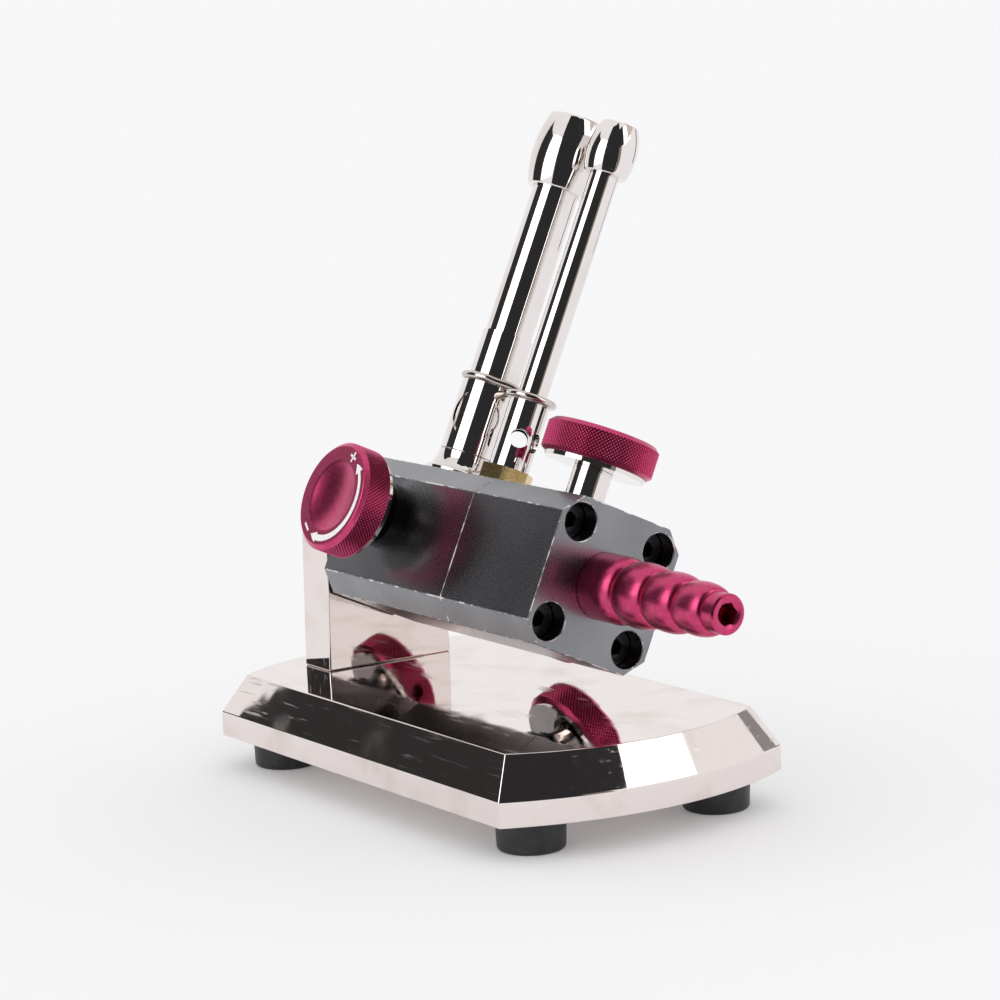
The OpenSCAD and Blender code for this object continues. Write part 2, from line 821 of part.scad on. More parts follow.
// Clip: one loop grips the main sleeve and the other keeps the pilot tube beside it
module tube_clip() {
    wire = 1.2;
    main_bore = main_tube_r + 0.45 + seat_gap;
    pilot_bore = 3.9;
    main_loop_z = main_collar_top + 0.4;
    pilot_loop_z = pilot_collar_top + 0.3;
    link_from = [main_x + main_bore + wire / 2, main_loop_z + wire / 2];
    link_to = [pilot_x - pilot_bore - wire / 2, pilot_loop_z + wire / 2];
    span = link_to - link_from;
    color([0.72, 0.71, 0.69]) head() {
        translate([main_x, 0, main_loop_z]) rotate([0, 0, 90]) tube(main_bore + wire, main_bore, wire);
        translate([pilot_x, 0, pilot_loop_z]) rotate([0, 0, 90])
            tube(pilot_bore + wire, pilot_bore, wire);
        translate([link_from[0], 0, link_from[1]]) rotate([0, -atan2(span[1], span[0]), 0])
            translate([0, -wire / 2, -wire / 3]) cube([norm(span), wire, 2 * wire / 3]);
    }
}

base_plate();
pivot_post();
post_screws();
rubber_feet();
foot_screws();
pivot_bush();
friction_washer();
pivot_spacer();
pivot_shaft();
spring_washer();
lock_nut();
rear_block();
front_block();
block_seal();
cap_screws();
hose_barb();
barb_seal();
main_gland();
main_gland_seal();
main_skirt();
main_spindle();
main_knob();
main_set_screw();
pilot_gland();
pilot_gland_seal();
pilot_skirt();
pilot_spindle();
pilot_knob();
pilot_set_screw();
stop_gland();
stop_gland_seal();
stop_skirt();
stop_spindle();
stop_knob();
stop_set_screw();
main_jet();
main_flange();
main_tube();
main_collar();
main_sleeve();
main_cup();
pilot_adapter();
pilot_jet();
pilot_tube();
pilot_collar();
pilot_cup();
tube_clip();
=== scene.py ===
"""Looks of a twin-tube bench gas burner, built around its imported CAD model.

Lengths are in millimetres inside the classes and become metres where a mesh is made. Every
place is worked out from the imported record's joints and from the boxes of the CAD nodes.
"""

import json
import logging
import math
from dataclasses import dataclass, field
from enum import Enum
from typing import Any, Callable, Iterable, Protocol, Sequence

import bmesh
import bpy
from mathutils import Matrix, Vector


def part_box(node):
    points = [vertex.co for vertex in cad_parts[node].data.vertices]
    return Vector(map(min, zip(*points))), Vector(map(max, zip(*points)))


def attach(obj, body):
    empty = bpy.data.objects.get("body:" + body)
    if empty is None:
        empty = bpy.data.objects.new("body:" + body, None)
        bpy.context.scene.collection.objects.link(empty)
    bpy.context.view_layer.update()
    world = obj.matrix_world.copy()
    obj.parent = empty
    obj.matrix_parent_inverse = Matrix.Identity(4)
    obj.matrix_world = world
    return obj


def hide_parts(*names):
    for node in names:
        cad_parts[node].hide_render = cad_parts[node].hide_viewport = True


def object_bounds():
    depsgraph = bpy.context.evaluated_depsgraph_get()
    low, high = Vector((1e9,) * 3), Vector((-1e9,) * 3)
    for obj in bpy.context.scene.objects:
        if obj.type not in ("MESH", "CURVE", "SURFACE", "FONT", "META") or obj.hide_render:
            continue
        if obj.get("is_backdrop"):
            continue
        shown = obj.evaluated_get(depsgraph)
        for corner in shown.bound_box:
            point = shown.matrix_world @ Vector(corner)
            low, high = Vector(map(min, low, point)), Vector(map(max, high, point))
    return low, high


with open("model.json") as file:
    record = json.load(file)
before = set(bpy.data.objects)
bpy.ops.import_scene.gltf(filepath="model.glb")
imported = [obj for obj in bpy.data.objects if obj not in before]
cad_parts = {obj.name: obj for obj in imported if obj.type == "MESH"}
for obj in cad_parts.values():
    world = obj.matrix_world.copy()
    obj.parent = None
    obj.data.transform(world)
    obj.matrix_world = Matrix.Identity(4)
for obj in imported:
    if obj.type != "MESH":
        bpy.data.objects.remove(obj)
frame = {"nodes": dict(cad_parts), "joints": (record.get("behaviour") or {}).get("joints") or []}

LOG = logging.getLogger("burner")
MM = 0.001

ON_AXIS = 1e-6
CURVE_STEPS = 24
GENTLE_BEND = math.radians(155)
ALONG_BAR = Vector((1, 0, 0))
UP = Vector((0, 0, 1))

Outline = list[tuple[float, float]]
Colour = tuple[float, float, float]
Socket = bpy.types.NodeSocket
Piece = bpy.types.Object
Material = bpy.types.Material
Shape = bmesh.types.BMesh


# ---------------------------------------------------------------------------
# Places
# ---------------------------------------------------------------------------


@dataclass(frozen=True)
class Axes:
    """A right-handed set of axes in the row frame, with its origin in metres."""

    origin: Vector
    x: Vector
    z: Vector

    @property
    def y(self) -> Vector:
        """The third axis."""
        return self.z.cross(self.x)

    def matrix(self) -> Matrix:
        """The 4x4 matrix that takes these axes' points to the row frame."""
        turn = Matrix((self.x, self.y, self.z)).transposed().to_4x4()
        return Matrix.Translation(self.origin) @ turn

    def shifted(self, x: float = 0.0, y: float = 0.0, z: float = 0.0) -> "Axes":
        """The same axes with the origin moved along them.

        Args:
            x: Distance along x, in millimetres.
            y: Distance along y, in millimetres.
            z: Distance along z, in millimetres.

        Returns:
            The moved axes.
        """
        step = (self.x * x + self.y * y + self.z * z) * MM
        return Axes(self.origin + step, self.x, self.z)

    def along_x(self) -> "Axes":
        """Axes at the same origin whose z runs along this x, for what is turned about the bar."""
        return Axes(self.origin, -self.z, self.x)

    def spun(self, degrees: float) -> "Axes":
        """These axes turned about their own z by an angle in degrees."""
        turn = Matrix.Rotation(math.radians(degrees), 3, self.z)
        return Axes(self.origin, turn @ self.x, self.z)


class Station(Enum):
    """Joints of the record that fix where the pieces go."""

    TILT = "head_tilt"
    MAIN_KNOB = "main_knob_turn"
    PILOT_KNOB = "pilot_knob_turn"
    STOP_KNOB = "stop_knob_turn"
    MAIN_AIR = "main_air_turn"
    PILOT_AIR = "pilot_air_turn"

    def axes(self) -> Axes:
        """Axes at this joint: z is the joint's own axis and x runs along the bar."""
        found = next(j for j in frame["joints"] if j["name"] == self.value)
        if self is Station.TILT:
            return Axes(Vector(found["pos_m"]), ALONG_BAR, Station.MAIN_AIR.axes().z)
        return Axes(Vector(found["pos_m"]), ALONG_BAR, Vector(found["axis"]).normalized())


def outward(bearing: float, height: float) -> Vector:
    """The direction at a bearing from +X and a height above the horizon, both in degrees."""
    b, h = math.radians(bearing), math.radians(height)
    return Vector((math.cos(b) * math.cos(h), math.sin(b) * math.cos(h), math.sin(h)))


# ---------------------------------------------------------------------------
# Mesh making
# ---------------------------------------------------------------------------


def about(radius: float, angle: float, height: float = 0.0) -> Vector:
    """The point at a radius and an angle in radians about z, at a height."""
    return Vector((radius * math.cos(angle), radius * math.sin(angle), height))


def steps_between(start: float, end: float, steps: int) -> list[float]:
    """Evenly spaced values from a start to an end, both kept."""
    return [start + (end - start) * i / steps for i in range(steps + 1)]


def once_round(count: int) -> list[float]:
    """Evenly spaced angles once round a circle, in radians."""
    return [2 * math.pi * i / count for i in range(count)]


def rounded(outline: Outline, radius: float, steps: int = 3) -> Outline:
    """Rounds the corners of a closed outline and leaves its gentle bends alone.

    Args:
        outline: Points of the outline. A point on the axis keeps its place.
        radius: Distance from a corner at which its rounding starts, in millimetres.
        steps: Segments of each rounding.

    Returns:
        The outline with its corners rounded.
    """
    made: Outline = []
    count = len(outline)
    for i, (px, py) in enumerate(outline):
        here = Vector((px, py))
        back = Vector(outline[i - 1]) - here
        ahead = Vector(outline[(i + 1) % count]) - here
        if min(px, back.length, ahead.length) < ON_AXIS or back.angle(ahead) > GENTLE_BEND:
            made.append((px, py))
            continue
        reach = min(radius, 0.4 * back.length, 0.4 * ahead.length)
        start, end = here + back.normalized() * reach, here + ahead.normalized() * reach
        for k in range(steps + 1):
            t = k / steps
            p = start * (1 - t) ** 2 + here * 2 * t * (1 - t) + end * t * t
            made.append((p.x, p.y))
    return made


def turned(outline: Outline, segments: int = 160) -> Shape:
    """Turns a closed outline of (radius, height) points about z.

    Args:
        outline: The outline's points, in millimetres.
        segments: Number of steps round the axis.

    Returns:
        A closed mesh in millimetres.
    """
    bm = bmesh.new()
    rings = []
    for r, z in outline:
        turn = once_round(segments) if r > ON_AXIS else [0.0]
        rings.append([bm.verts.new(about(r, a, z)) for a in turn])
    for lower, upper in zip(rings, rings[1:] + rings[:1]):
        join_rings(bm, lower, upper)
    bmesh.ops.recalc_face_normals(bm, faces=bm.faces)
    return bm


def join_rings(bm: Shape, lower: list, upper: list) -> None:
    """Fills the strip between two rings of vertices, either of which may be a single point.

    Args:
        bm: The mesh that holds the rings.
        lower: The first ring.
        upper: The second ring.
    """
    count = max(len(lower), len(upper))
    if count == 1:
        return
    for i in range(count):
        j = (i + 1) % count
        near = (lower[i % len(lower)], lower[j % len(lower)])
        far = (upper[j % len(upper)], upper[i % len(upper)])
        unique = list(dict.fromkeys(near + far))
        if len(unique) > 2:
            bm.faces.new(unique)


def layered(loops: Sequence[Sequence[Vector]]) -> Shape:
    """Joins closed loops of equal length into a solid with flat ends.

    Args:
        loops: The loops from one end to the other, in millimetres.

    Returns:
        A closed mesh in millimetres.
    """
    bm = bmesh.new()
    rings = [[bm.verts.new(p) for p in loop] for loop in loops]
    for lower, upper in zip(rings, rings[1:]):
        join_rings(bm, lower, upper)
    bm.faces.new(rings[0])
    bm.faces.new(rings[-1])
    bmesh.ops.recalc_face_normals(bm, faces=bm.faces)
    return bm


def ease_edges(
    bm: Shape, width: float, angle: float, finish_index: int = -1, steps: int = 3
) -> None:
    """Breaks every edge that is sharper than an angle.

    Args:
        bm: The mesh, in millimetres.
        width: Width of the rounding.
        angle: Least angle between faces, in degrees, of an edge that is broken.
        finish_index: Material index of the new faces, or -1 for that of their neighbours.
        steps: Segments of each rounding.
    """
    least = math.radians(angle)
    sharp = [e for e in bm.edges if len(e.link_faces) == 2 and e.calc_face_angle(0) > least]
    bmesh.ops.bevel(
        bm,
        geom=sharp,
        offset=width,
        segments=steps,
        profile=0.5,
        affect="EDGES",
        clamp_overlap=True,
        material=finish_index,
    )


def linked(name: str, data: bpy.types.ID) -> Piece:
    """Makes an object and links it to the scene.

    Args:
        name: The object's name.
        data: What it shows.

    Returns:
        The new object.
    """
    made = bpy.data.objects.new(name, data)
    bpy.context.scene.collection.objects.link(made)
    return made


def add_object(name: str, bm: Shape, axes: Axes, materials: Sequence[Material]) -> Piece:
    """Makes an object from a mesh in millimetres and puts it at its axes.

    Args:
        name: The object's name.
        bm: The mesh, which is freed.
        axes: Where the mesh's own axes lie in the row frame.
        materials: Materials in slot order.

    Returns:
        The new object, linked to the scene.
    """
    bmesh.ops.scale(bm, vec=(MM, MM, MM), verts=bm.verts)
    mesh = bpy.data.meshes.new(name)
    bm.to_mesh(mesh)
    bm.free()
    for material in materials:
        mesh.materials.append(material)
    made = linked(name, mesh)
    made.matrix_world = axes.matrix()
    return made


def shade(obj: Piece, sharp_angle: float = 38.0) -> None:
    """Smooths an object's shading while its flats stay flat.

    Args:
        obj: The object.
        sharp_angle: Edges sharper than this, in degrees, stay crisp.
    """
    for face in obj.data.polygons:
        face.use_smooth = True
    obj.data.set_sharp_from_angle(angle=math.radians(sharp_angle))
    weighted = obj.modifiers.new("flat_faces_stay_flat", "WEIGHTED_NORMAL")
    weighted.keep_sharp = True
    weighted.weight = 80


def cut(obj: Piece, cutters: Iterable[Piece]) -> None:
    """Takes the cutters away from an object and removes them.

    Args:
        obj: The object that is cut.
        cutters: Closed solids in the row frame.
    """
    for cutter in list(cutters):
        bpy.context.view_layer.update()
        step = obj.modifiers.new("cut", "BOOLEAN")
        step.operation = "DIFFERENCE"
        step.solver = "EXACT"
        step.object = cutter
        graph = bpy.context.evaluated_depsgraph_get()
        mesh = bpy.data.meshes.new_from_object(obj.evaluated_get(graph))
        obj.modifiers.clear()
        old, name = obj.data, obj.data.name
        obj.data = mesh
        bpy.data.meshes.remove(old)
        mesh.name = name
        bpy.data.objects.remove(cutter)


def settle(obj: Piece, body: str, replaced: Sequence[str] = ()) -> Piece:
    """Hands a finished piece to the frame.

    Args:
        obj: The piece, in place.
        body: The CAD body that it rides on.
        replaced: CAD nodes that it stands for.

    Returns:
        The piece.
    """
    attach(obj, body)
    if replaced:
        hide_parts(*replaced)
    LOG.info("built %s on %s, %d faces", obj.name, body, len(obj.data.polygons))
    return obj


def dress(node: str, material: Material) -> None:
    """Gives a CAD node its finish.

    Args:
        node: The node's name.
        material: The finish.
    """
    obj = frame["nodes"][node]
    if obj.material_slots:
        for held in obj.material_slots:
            held.material = material
    else:
        obj.data.materials.append(material)
    LOG.info("dressed %s in %s", node, material.name)


# ---------------------------------------------------------------------------
# Finishes
# ---------------------------------------------------------------------------


class NodeBoard:
    """A material's node tree with a few short ways to add to it."""

    def __init__(self, name: str) -> None:
        """Starts a material that holds one principled shader.

        Args:
            name: The material's name.
        """
        self.material = bpy.data.materials.new(name)
        self.material.use_nodes = True
        self.tree = self.material.node_tree
        self.shader = next(n for n in self.tree.nodes if n.type == "BSDF_PRINCIPLED")
        self.coords = self.tree.nodes.new("ShaderNodeTexCoord").outputs["Object"]

    def set(self, **values: float | Colour) -> None:
        """Sets sockets of the shader; underscores in a name stand for spaces."""
        for name, value in values.items():
            socket = self.shader.inputs[name.replace("_", " ")]
            socket.default_value = (*value, 1.0) if isinstance(value, tuple) else value

    def add(self, kind: str, **inputs: float | Sequence[float] | Socket) -> bpy.types.Node:
        """Adds a node and fills its inputs.

        Args:
            kind: The node's kind.
            inputs: Values or sockets; underscores in a name stand for spaces.

        Returns:
            The node.
        """
        node = self.tree.nodes.new(f"ShaderNode{kind}")
        for name, value in inputs.items():
            held = node.inputs[name.replace("_", " ")]
            if isinstance(value, Socket):
                self.tree.links.new(value, held)
            else:
                held.default_value = value
        return node

    def stretched(self, x: float, y: float, z: float) -> Socket:
        """Object coordinates scaled by a different amount along each axis."""
        return self.add("Mapping", Vector=self.coords, Scale=(x, y, z)).outputs["Vector"]

    def noise(self, scale: float, detail: float = 2.0, where: Socket | None = None) -> Socket:
        """Adds a noise texture.

        Args:
            scale: Its features per metre.
            detail: Its octaves.
            where: Coordinates, or None for object coordinates.

        Returns:
            The noise's value.
        """
        node = self.add("TexNoise", Vector=where or self.coords, Scale=scale, Detail=detail)
        return node.outputs["Fac"]

    def ramp(self, value: Socket, low: float, high: float, start: float, end: float) -> Socket:
        """Maps a value's range onto another, and holds it at the ends.

        Args:
            value: The incoming value.
            low: Value where the range starts.
            high: Value where the range ends.
            start: Result at low.
            end: Result at high.

        Returns:
            The mapped value.
        """
        node = self.add("MapRange", Value=value, From_Min=low, From_Max=high, To_Min=start, To_Max=end)
        return node.outputs["Result"]

    def blend(self, share: Socket, first: Colour | Socket, second: Colour) -> Socket:
        """Mixes two colours.

        Args:
            share: Share of the second colour.
            first: Colour where the share is 0, which may be an incoming one.
            second: Colour where the share is 1.

        Returns:
            The mixed colour.
        """
        node = self.tree.nodes.new("ShaderNodeMix")
        node.data_type = "RGBA"
        colours = [s for s in node.inputs if s.type == "RGBA"]
        if isinstance(first, Socket):
            self.tree.links.new(first, colours[0])
        else:
            colours[0].default_value = (*first, 1.0)
        colours[1].default_value = (*second, 1.0)
        self.tree.links.new(share, node.inputs["Factor"])
        return next(s for s in node.outputs if s.type == "RGBA")

    def larger(self, first: Socket, second: Socket) -> Socket:
        """Takes the larger of two values.

        Args:
            first: One value.
            second: The other value.

        Returns:
            The larger one.
        """
        node = self.tree.nodes.new("ShaderNodeMath")
        node.operation = "MAXIMUM"
        self.tree.links.new(first, node.inputs[0])
        self.tree.links.new(second, node.inputs[1])
        return node.outputs["Value"]

    def bump(self, height: Socket, distance: float, strength: float = 1.0) -> None:
        """Adds relief to the shader.

        Args:
            height: The relief's height, from 0 to 1.
            distance: Depth of the relief, in metres.
            strength: Share of it that shows.
        """
        node = self.add("Bump", Height=height, Distance=distance, Strength=strength)
        self.feed("Normal", node.outputs["Normal"])

    def feed(self, name: str, value: Socket) -> None:
        """Links a value to one of the shader's sockets."""
        self.tree.links.new(value, self.shader.inputs[name])


class Finish(Protocol):
    """Anything that can make a material."""

    def material(self) -> Material:
        """Builds the material."""


@dataclass(frozen=True)
class MirrorPlate:
    """Polished nickel plate: nearly a mirror, a little warm, with waves, haze and buffing streaks."""

    name: str = "mirror_nickel_plate"
    colour: Colour = (0.84, 0.80, 0.78)
    haze_colour: Colour = (0.74, 0.68, 0.64)
    smooth: float = 0.03
    hazy: float = 0.10
    streaked: float = 0.14
    wave_depth: float = 0.00004
    wave_size: float = 60.0
    streaks: tuple[float, float, float] = (60.0, 900.0, 2600.0)

    def material(self) -> Material:
        """Builds the material."""
        board = NodeBoard(self.name)
        board.set(Metallic=1.0, Base_Color=self.colour)
        cloud = board.ramp(board.noise(85.0, 5.0), 0.50, 0.72, 0.0, 1.0)
        board.feed("Base Color", board.blend(cloud, self.colour, self.haze_colour))
        lines = board.noise(1.0, 3.0, board.stretched(*self.streaks))
        buffed = board.ramp(lines, 0.58, 0.74, self.smooth, self.streaked)
        hazed = board.ramp(cloud, 0.0, 1.0, self.smooth, self.hazy)
        board.feed("Roughness", board.larger(buffed, hazed))
        board.bump(board.noise(self.wave_size, 2.0), self.wave_depth, 0.6)
        return board.material


@dataclass(frozen=True)
class TurnedMetal:
    """Metal straight from the lathe, with fine rings round its axis."""

    name: str = "lathe_turned_steel"
    colour: Colour = (0.62, 0.61, 0.60)
    roughness: float = 0.22
    ring_depth: float = 0.000004

    def material(self) -> Material:
        """Builds the material."""
        board = NodeBoard(self.name)
        board.set(Metallic=1.0, Base_Color=self.colour)
        rings = board.noise(1.0, 2.0, board.stretched(300.0, 300.0, 9000.0))
        dull = tuple(c * 0.8 for c in self.colour)
        board.feed("Base Color", board.blend(board.ramp(rings, 0.35, 0.7, 0.0, 1.0), self.colour, dull))
        board.feed("Roughness", board.ramp(rings, 0.3, 0.7, self.roughness * 0.8, self.roughness * 1.3))
        board.bump(rings, self.ring_depth)
        return board.material


@dataclass(frozen=True)
class SatinAnodised:
    """Grey anodised aluminium with fine grain, handling marks and thin scratches."""

    name: str = "grey_anodised_aluminium"
    colour: Colour = (0.235, 0.237, 0.252)
    rubbed: Colour = (0.285, 0.288, 0.302)
    scratch: Colour = (0.55, 0.55, 0.56)
    roughness: float = 0.24

    def material(self) -> Material:
        """Builds the material."""
        board = NodeBoard(self.name)
        board.set(Metallic=1.0, Base_Color=self.colour)
        cloud = board.ramp(board.noise(90.0, 5.0), 0.35, 0.7, 0.0, 1.0)
        base = board.blend(cloud, self.colour, self.rubbed)
        lines = board.noise(1.0, 1.0, board.stretched(2400.0, 70.0, 130.0))
        marks = board.ramp(lines, 0.725, 0.76, 0.0, 0.55)
        board.feed("Base Color", board.blend(marks, base, self.scratch))
        grain = board.noise(5200.0, 3.0)
        dull, gloss = self.roughness + 0.08, self.roughness - 0.05
        board.feed("Roughness", board.ramp(grain, 0.3, 0.7, gloss, dull))
        board.bump(grain, 0.000004, 0.5)
        return board.material


@dataclass(frozen=True)
class WornEdge:
    """The broken edges of the anodised bar, chipped through to bright metal in places."""

    name: str = "worn_bar_edge"
    colour: Colour = (0.24, 0.24, 0.255)
    bare: Colour = (0.90, 0.89, 0.88)

    def material(self) -> Material:
        """Builds the material."""
        board = NodeBoard(self.name)
        board.set(Metallic=1.0, Base_Color=self.colour)
        chips = board.larger(
            board.ramp(board.noise(420.0, 5.0), 0.535, 0.60, 0.0, 1.0),
            board.ramp(board.noise(1500.0, 2.0), 0.62, 0.66, 0.0, 0.9),
        )
        board.feed("Base Color", board.blend(chips, self.colour, self.bare))
        board.feed("Roughness", board.ramp(chips, 0.0, 1.0, 0.32, 0.48))
        board.bump(board.noise(1500.0, 3.0), 0.00002, 0.6)
        return board.material


@dataclass(frozen=True)
class BrightAnodised:
    """Raspberry anodised aluminium; the crests of the knurling are paler than the rest, and its grooves
    are darkened with painted shade.
    """

    name: str = "magenta_anodised_aluminium"
    colour: Colour = (0.58, 0.058, 0.165)
    crest: Colour = (0.86, 0.23, 0.40)
    # painted shade: the colour that the knurling's grooves are darkened towards
    groove: Colour = (0.20, 0.010, 0.040)
    roughness: float = 0.29

    def material(self) -> Material:
        """Builds the material."""
        board = NodeBoard(self.name)
        board.set(Metallic=1.0, Base_Color=self.colour)
        # a mesh attribute, 1 on the knurling's crests, which are made paler, and -1 in its grooves,
        # which get painted shade
        crest_pale_groove_shade = board.tree.nodes.new("ShaderNodeAttribute")
        crest_pale_groove_shade.attribute_name = "crest_pale_groove_shade"
        mottled = board.ramp(board.noise(900.0, 4.0), 0.45, 0.8, 0.0, 0.22)
        share = board.larger(board.ramp(crest_pale_groove_shade.outputs["Fac"], 0.1, 1.0, 0.0, 0.75), mottled)
        light = board.blend(share, self.colour, self.crest)
        # painted shade: the grooves are darkened towards the groove colour, as shade in a recess
        depth = board.ramp(crest_pale_groove_shade.outputs["Fac"], -0.95, -0.1, 1.0, 0.0)
        board.feed("Base Color", board.blend(depth, light, self.groove))
        grain = board.noise(6000.0, 3.0)
        dull, gloss = self.roughness + 0.08, self.roughness - 0.04
        board.feed("Roughness", board.ramp(grain, 0.3, 0.7, gloss, dull))
        board.bump(grain, 0.000003, 0.5)
        return board.material


@dataclass(frozen=True)
class DarkMetal:
    """Black oxide or black anodising, with a soft gloss and faint rubbed spots."""

    name: str = "black_oxide_steel"
    colour: Colour = (0.035, 0.035, 0.038)
    rubbed: Colour = (0.12, 0.12, 0.125)
    roughness: float = 0.28

    def material(self) -> Material:
        """Builds the material."""
        board = NodeBoard(self.name)
        board.set(Metallic=0.85, Base_Color=self.colour)
        spots = board.ramp(board.noise(800.0, 4.0), 0.56, 0.8, 0.0, 0.7)
        board.feed("Base Color", board.blend(spots, self.colour, self.rubbed))
        board.feed("Roughness", board.ramp(spots, 0.0, 0.7, self.roughness, self.roughness + 0.15))
        board.bump(board.noise(3500.0, 2.0), 0.000005, 0.5)
        return board.material


@dataclass(frozen=True)
class SoftBlack:
    """Moulded black rubber or fibre, with fine pitting."""

    name: str = "moulded_foot_rubber"
    colour: Colour = (0.013, 0.013, 0.014)
    dusty: Colour = (0.045, 0.045, 0.046)
    roughness: float = 0.42

    def material(self) -> Material:
        """Builds the material."""
        board = NodeBoard(self.name)
        board.set(Metallic=0.0, Base_Color=self.colour)
        dust = board.ramp(board.noise(260.0, 5.0), 0.45, 0.8, 0.0, 0.8)
        board.feed("Base Color", board.blend(dust, self.colour, self.dusty))
        board.feed("Roughness", board.ramp(dust, 0.0, 0.8, self.roughness, self.roughness + 0.2))
        board.bump(board.noise(4200.0, 2.0), 0.00002, 0.5)
        return board.material


@dataclass(frozen=True)
class WhiteFill:
    """White enamel that fills the engraved marks."""

    name: str = "white_enamel"
    colour: Colour = (0.80, 0.79, 0.78)
    stained: Colour = (0.66, 0.62, 0.61)

    def material(self) -> Material:
        """Builds the material."""
        board = NodeBoard(self.name)
        board.set(Metallic=0.0, Base_Color=self.colour, Roughness=0.5)
        stain = board.ramp(board.noise(1400.0, 4.0), 0.5, 0.75, 0.0, 0.8)
        board.feed("Base Color", board.blend(stain, self.colour, self.stained))
        board.bump(board.noise(3000.0, 2.0), 0.00001, 0.5)
        return board.material


@dataclass(frozen=True)
class Floor:
    """A plain pale floor that is faintly lit through, as a light table is."""

    name: str = "pale_floor"
    colour: Colour = (0.865, 0.865, 0.87)
    lit_through: float = 0.135

    def material(self) -> Material:
        """Builds the material."""
        board = NodeBoard(self.name)
        board.set(Base_Color=self.colour, Roughness=1.0, Specular_IOR_Level=0.0)
        board.set(Emission_Color=self.colour, Emission_Strength=self.lit_through)
        return board.material


@dataclass(frozen=True)
class PanelGlow:
    """The even face of a studio panel."""

    name: str
    colour: Colour

    def material(self) -> Material:
        """Builds the material."""
        made = bpy.data.materials.new(self.name)
        made.use_nodes = True
        tree = made.node_tree
        tree.nodes.clear()
        glow = tree.nodes.new("ShaderNodeEmission")
        glow.inputs["Color"].default_value = (*self.colour, 1.0)
        glow.inputs["Strength"].default_value = 1.0
        out = tree.nodes.new("ShaderNodeOutputMaterial")
        tree.links.new(glow.outputs["Emission"], out.inputs["Surface"])
        return made


def shared(finish: "Finish") -> Any:
    """A dataclass field for one finish's material, made when its owner is made."""
    return field(default_factory=finish.material)


@dataclass
class Finishes:
    """One material of each finish, made once and shared."""

    mirror: Material = shared(MirrorPlate())
    plate: Material = shared(
        MirrorPlate(
            name="hand_polished_plate",
            colour=(0.84, 0.765, 0.74),
            haze_colour=(0.72, 0.63, 0.58),
            hazy=0.13,
            streaked=0.24,
            wave_depth=0.00016,
            wave_size=48.0,
            streaks=(90.0, 420.0, 1500.0),
        )
    )
    wire: Material = shared(
        MirrorPlate(
            name="nickel_spring_wire",
            colour=(0.66, 0.60, 0.56),
            haze_colour=(0.50, 0.43, 0.38),
            smooth=0.12,
            hazy=0.2,
        )
    )
    steel: Material = shared(TurnedMetal())
    bronze: Material = shared(TurnedMetal("turned_bronze", (0.62, 0.45, 0.22), 0.3))
    brass: Material = shared(TurnedMetal("turned_brass", (0.72, 0.55, 0.25), 0.2))
    grey: Material = shared(SatinAnodised())
    edge: Material = shared(WornEdge())
    magenta: Material = shared(BrightAnodised())
    screw: Material = shared(DarkMetal())
    gland: Material = shared(
        DarkMetal("black_anodised_aluminium", (0.022, 0.022, 0.024), (0.07, 0.07, 0.07), 0.2)
    )
    rubber: Material = shared(SoftBlack())
    seal: Material = shared(
        SoftBlack("moulded_seal_rubber", (0.02, 0.02, 0.02), (0.04, 0.04, 0.04), 0.5)
    )
    fibre: Material = shared(
        SoftBlack("pressed_fibre", (0.16, 0.09, 0.06), (0.24, 0.15, 0.10), 0.7)
    )
    white: Material = shared(WhiteFill())


# ---------------------------------------------------------------------------
# The stand
# ---------------------------------------------------------------------------


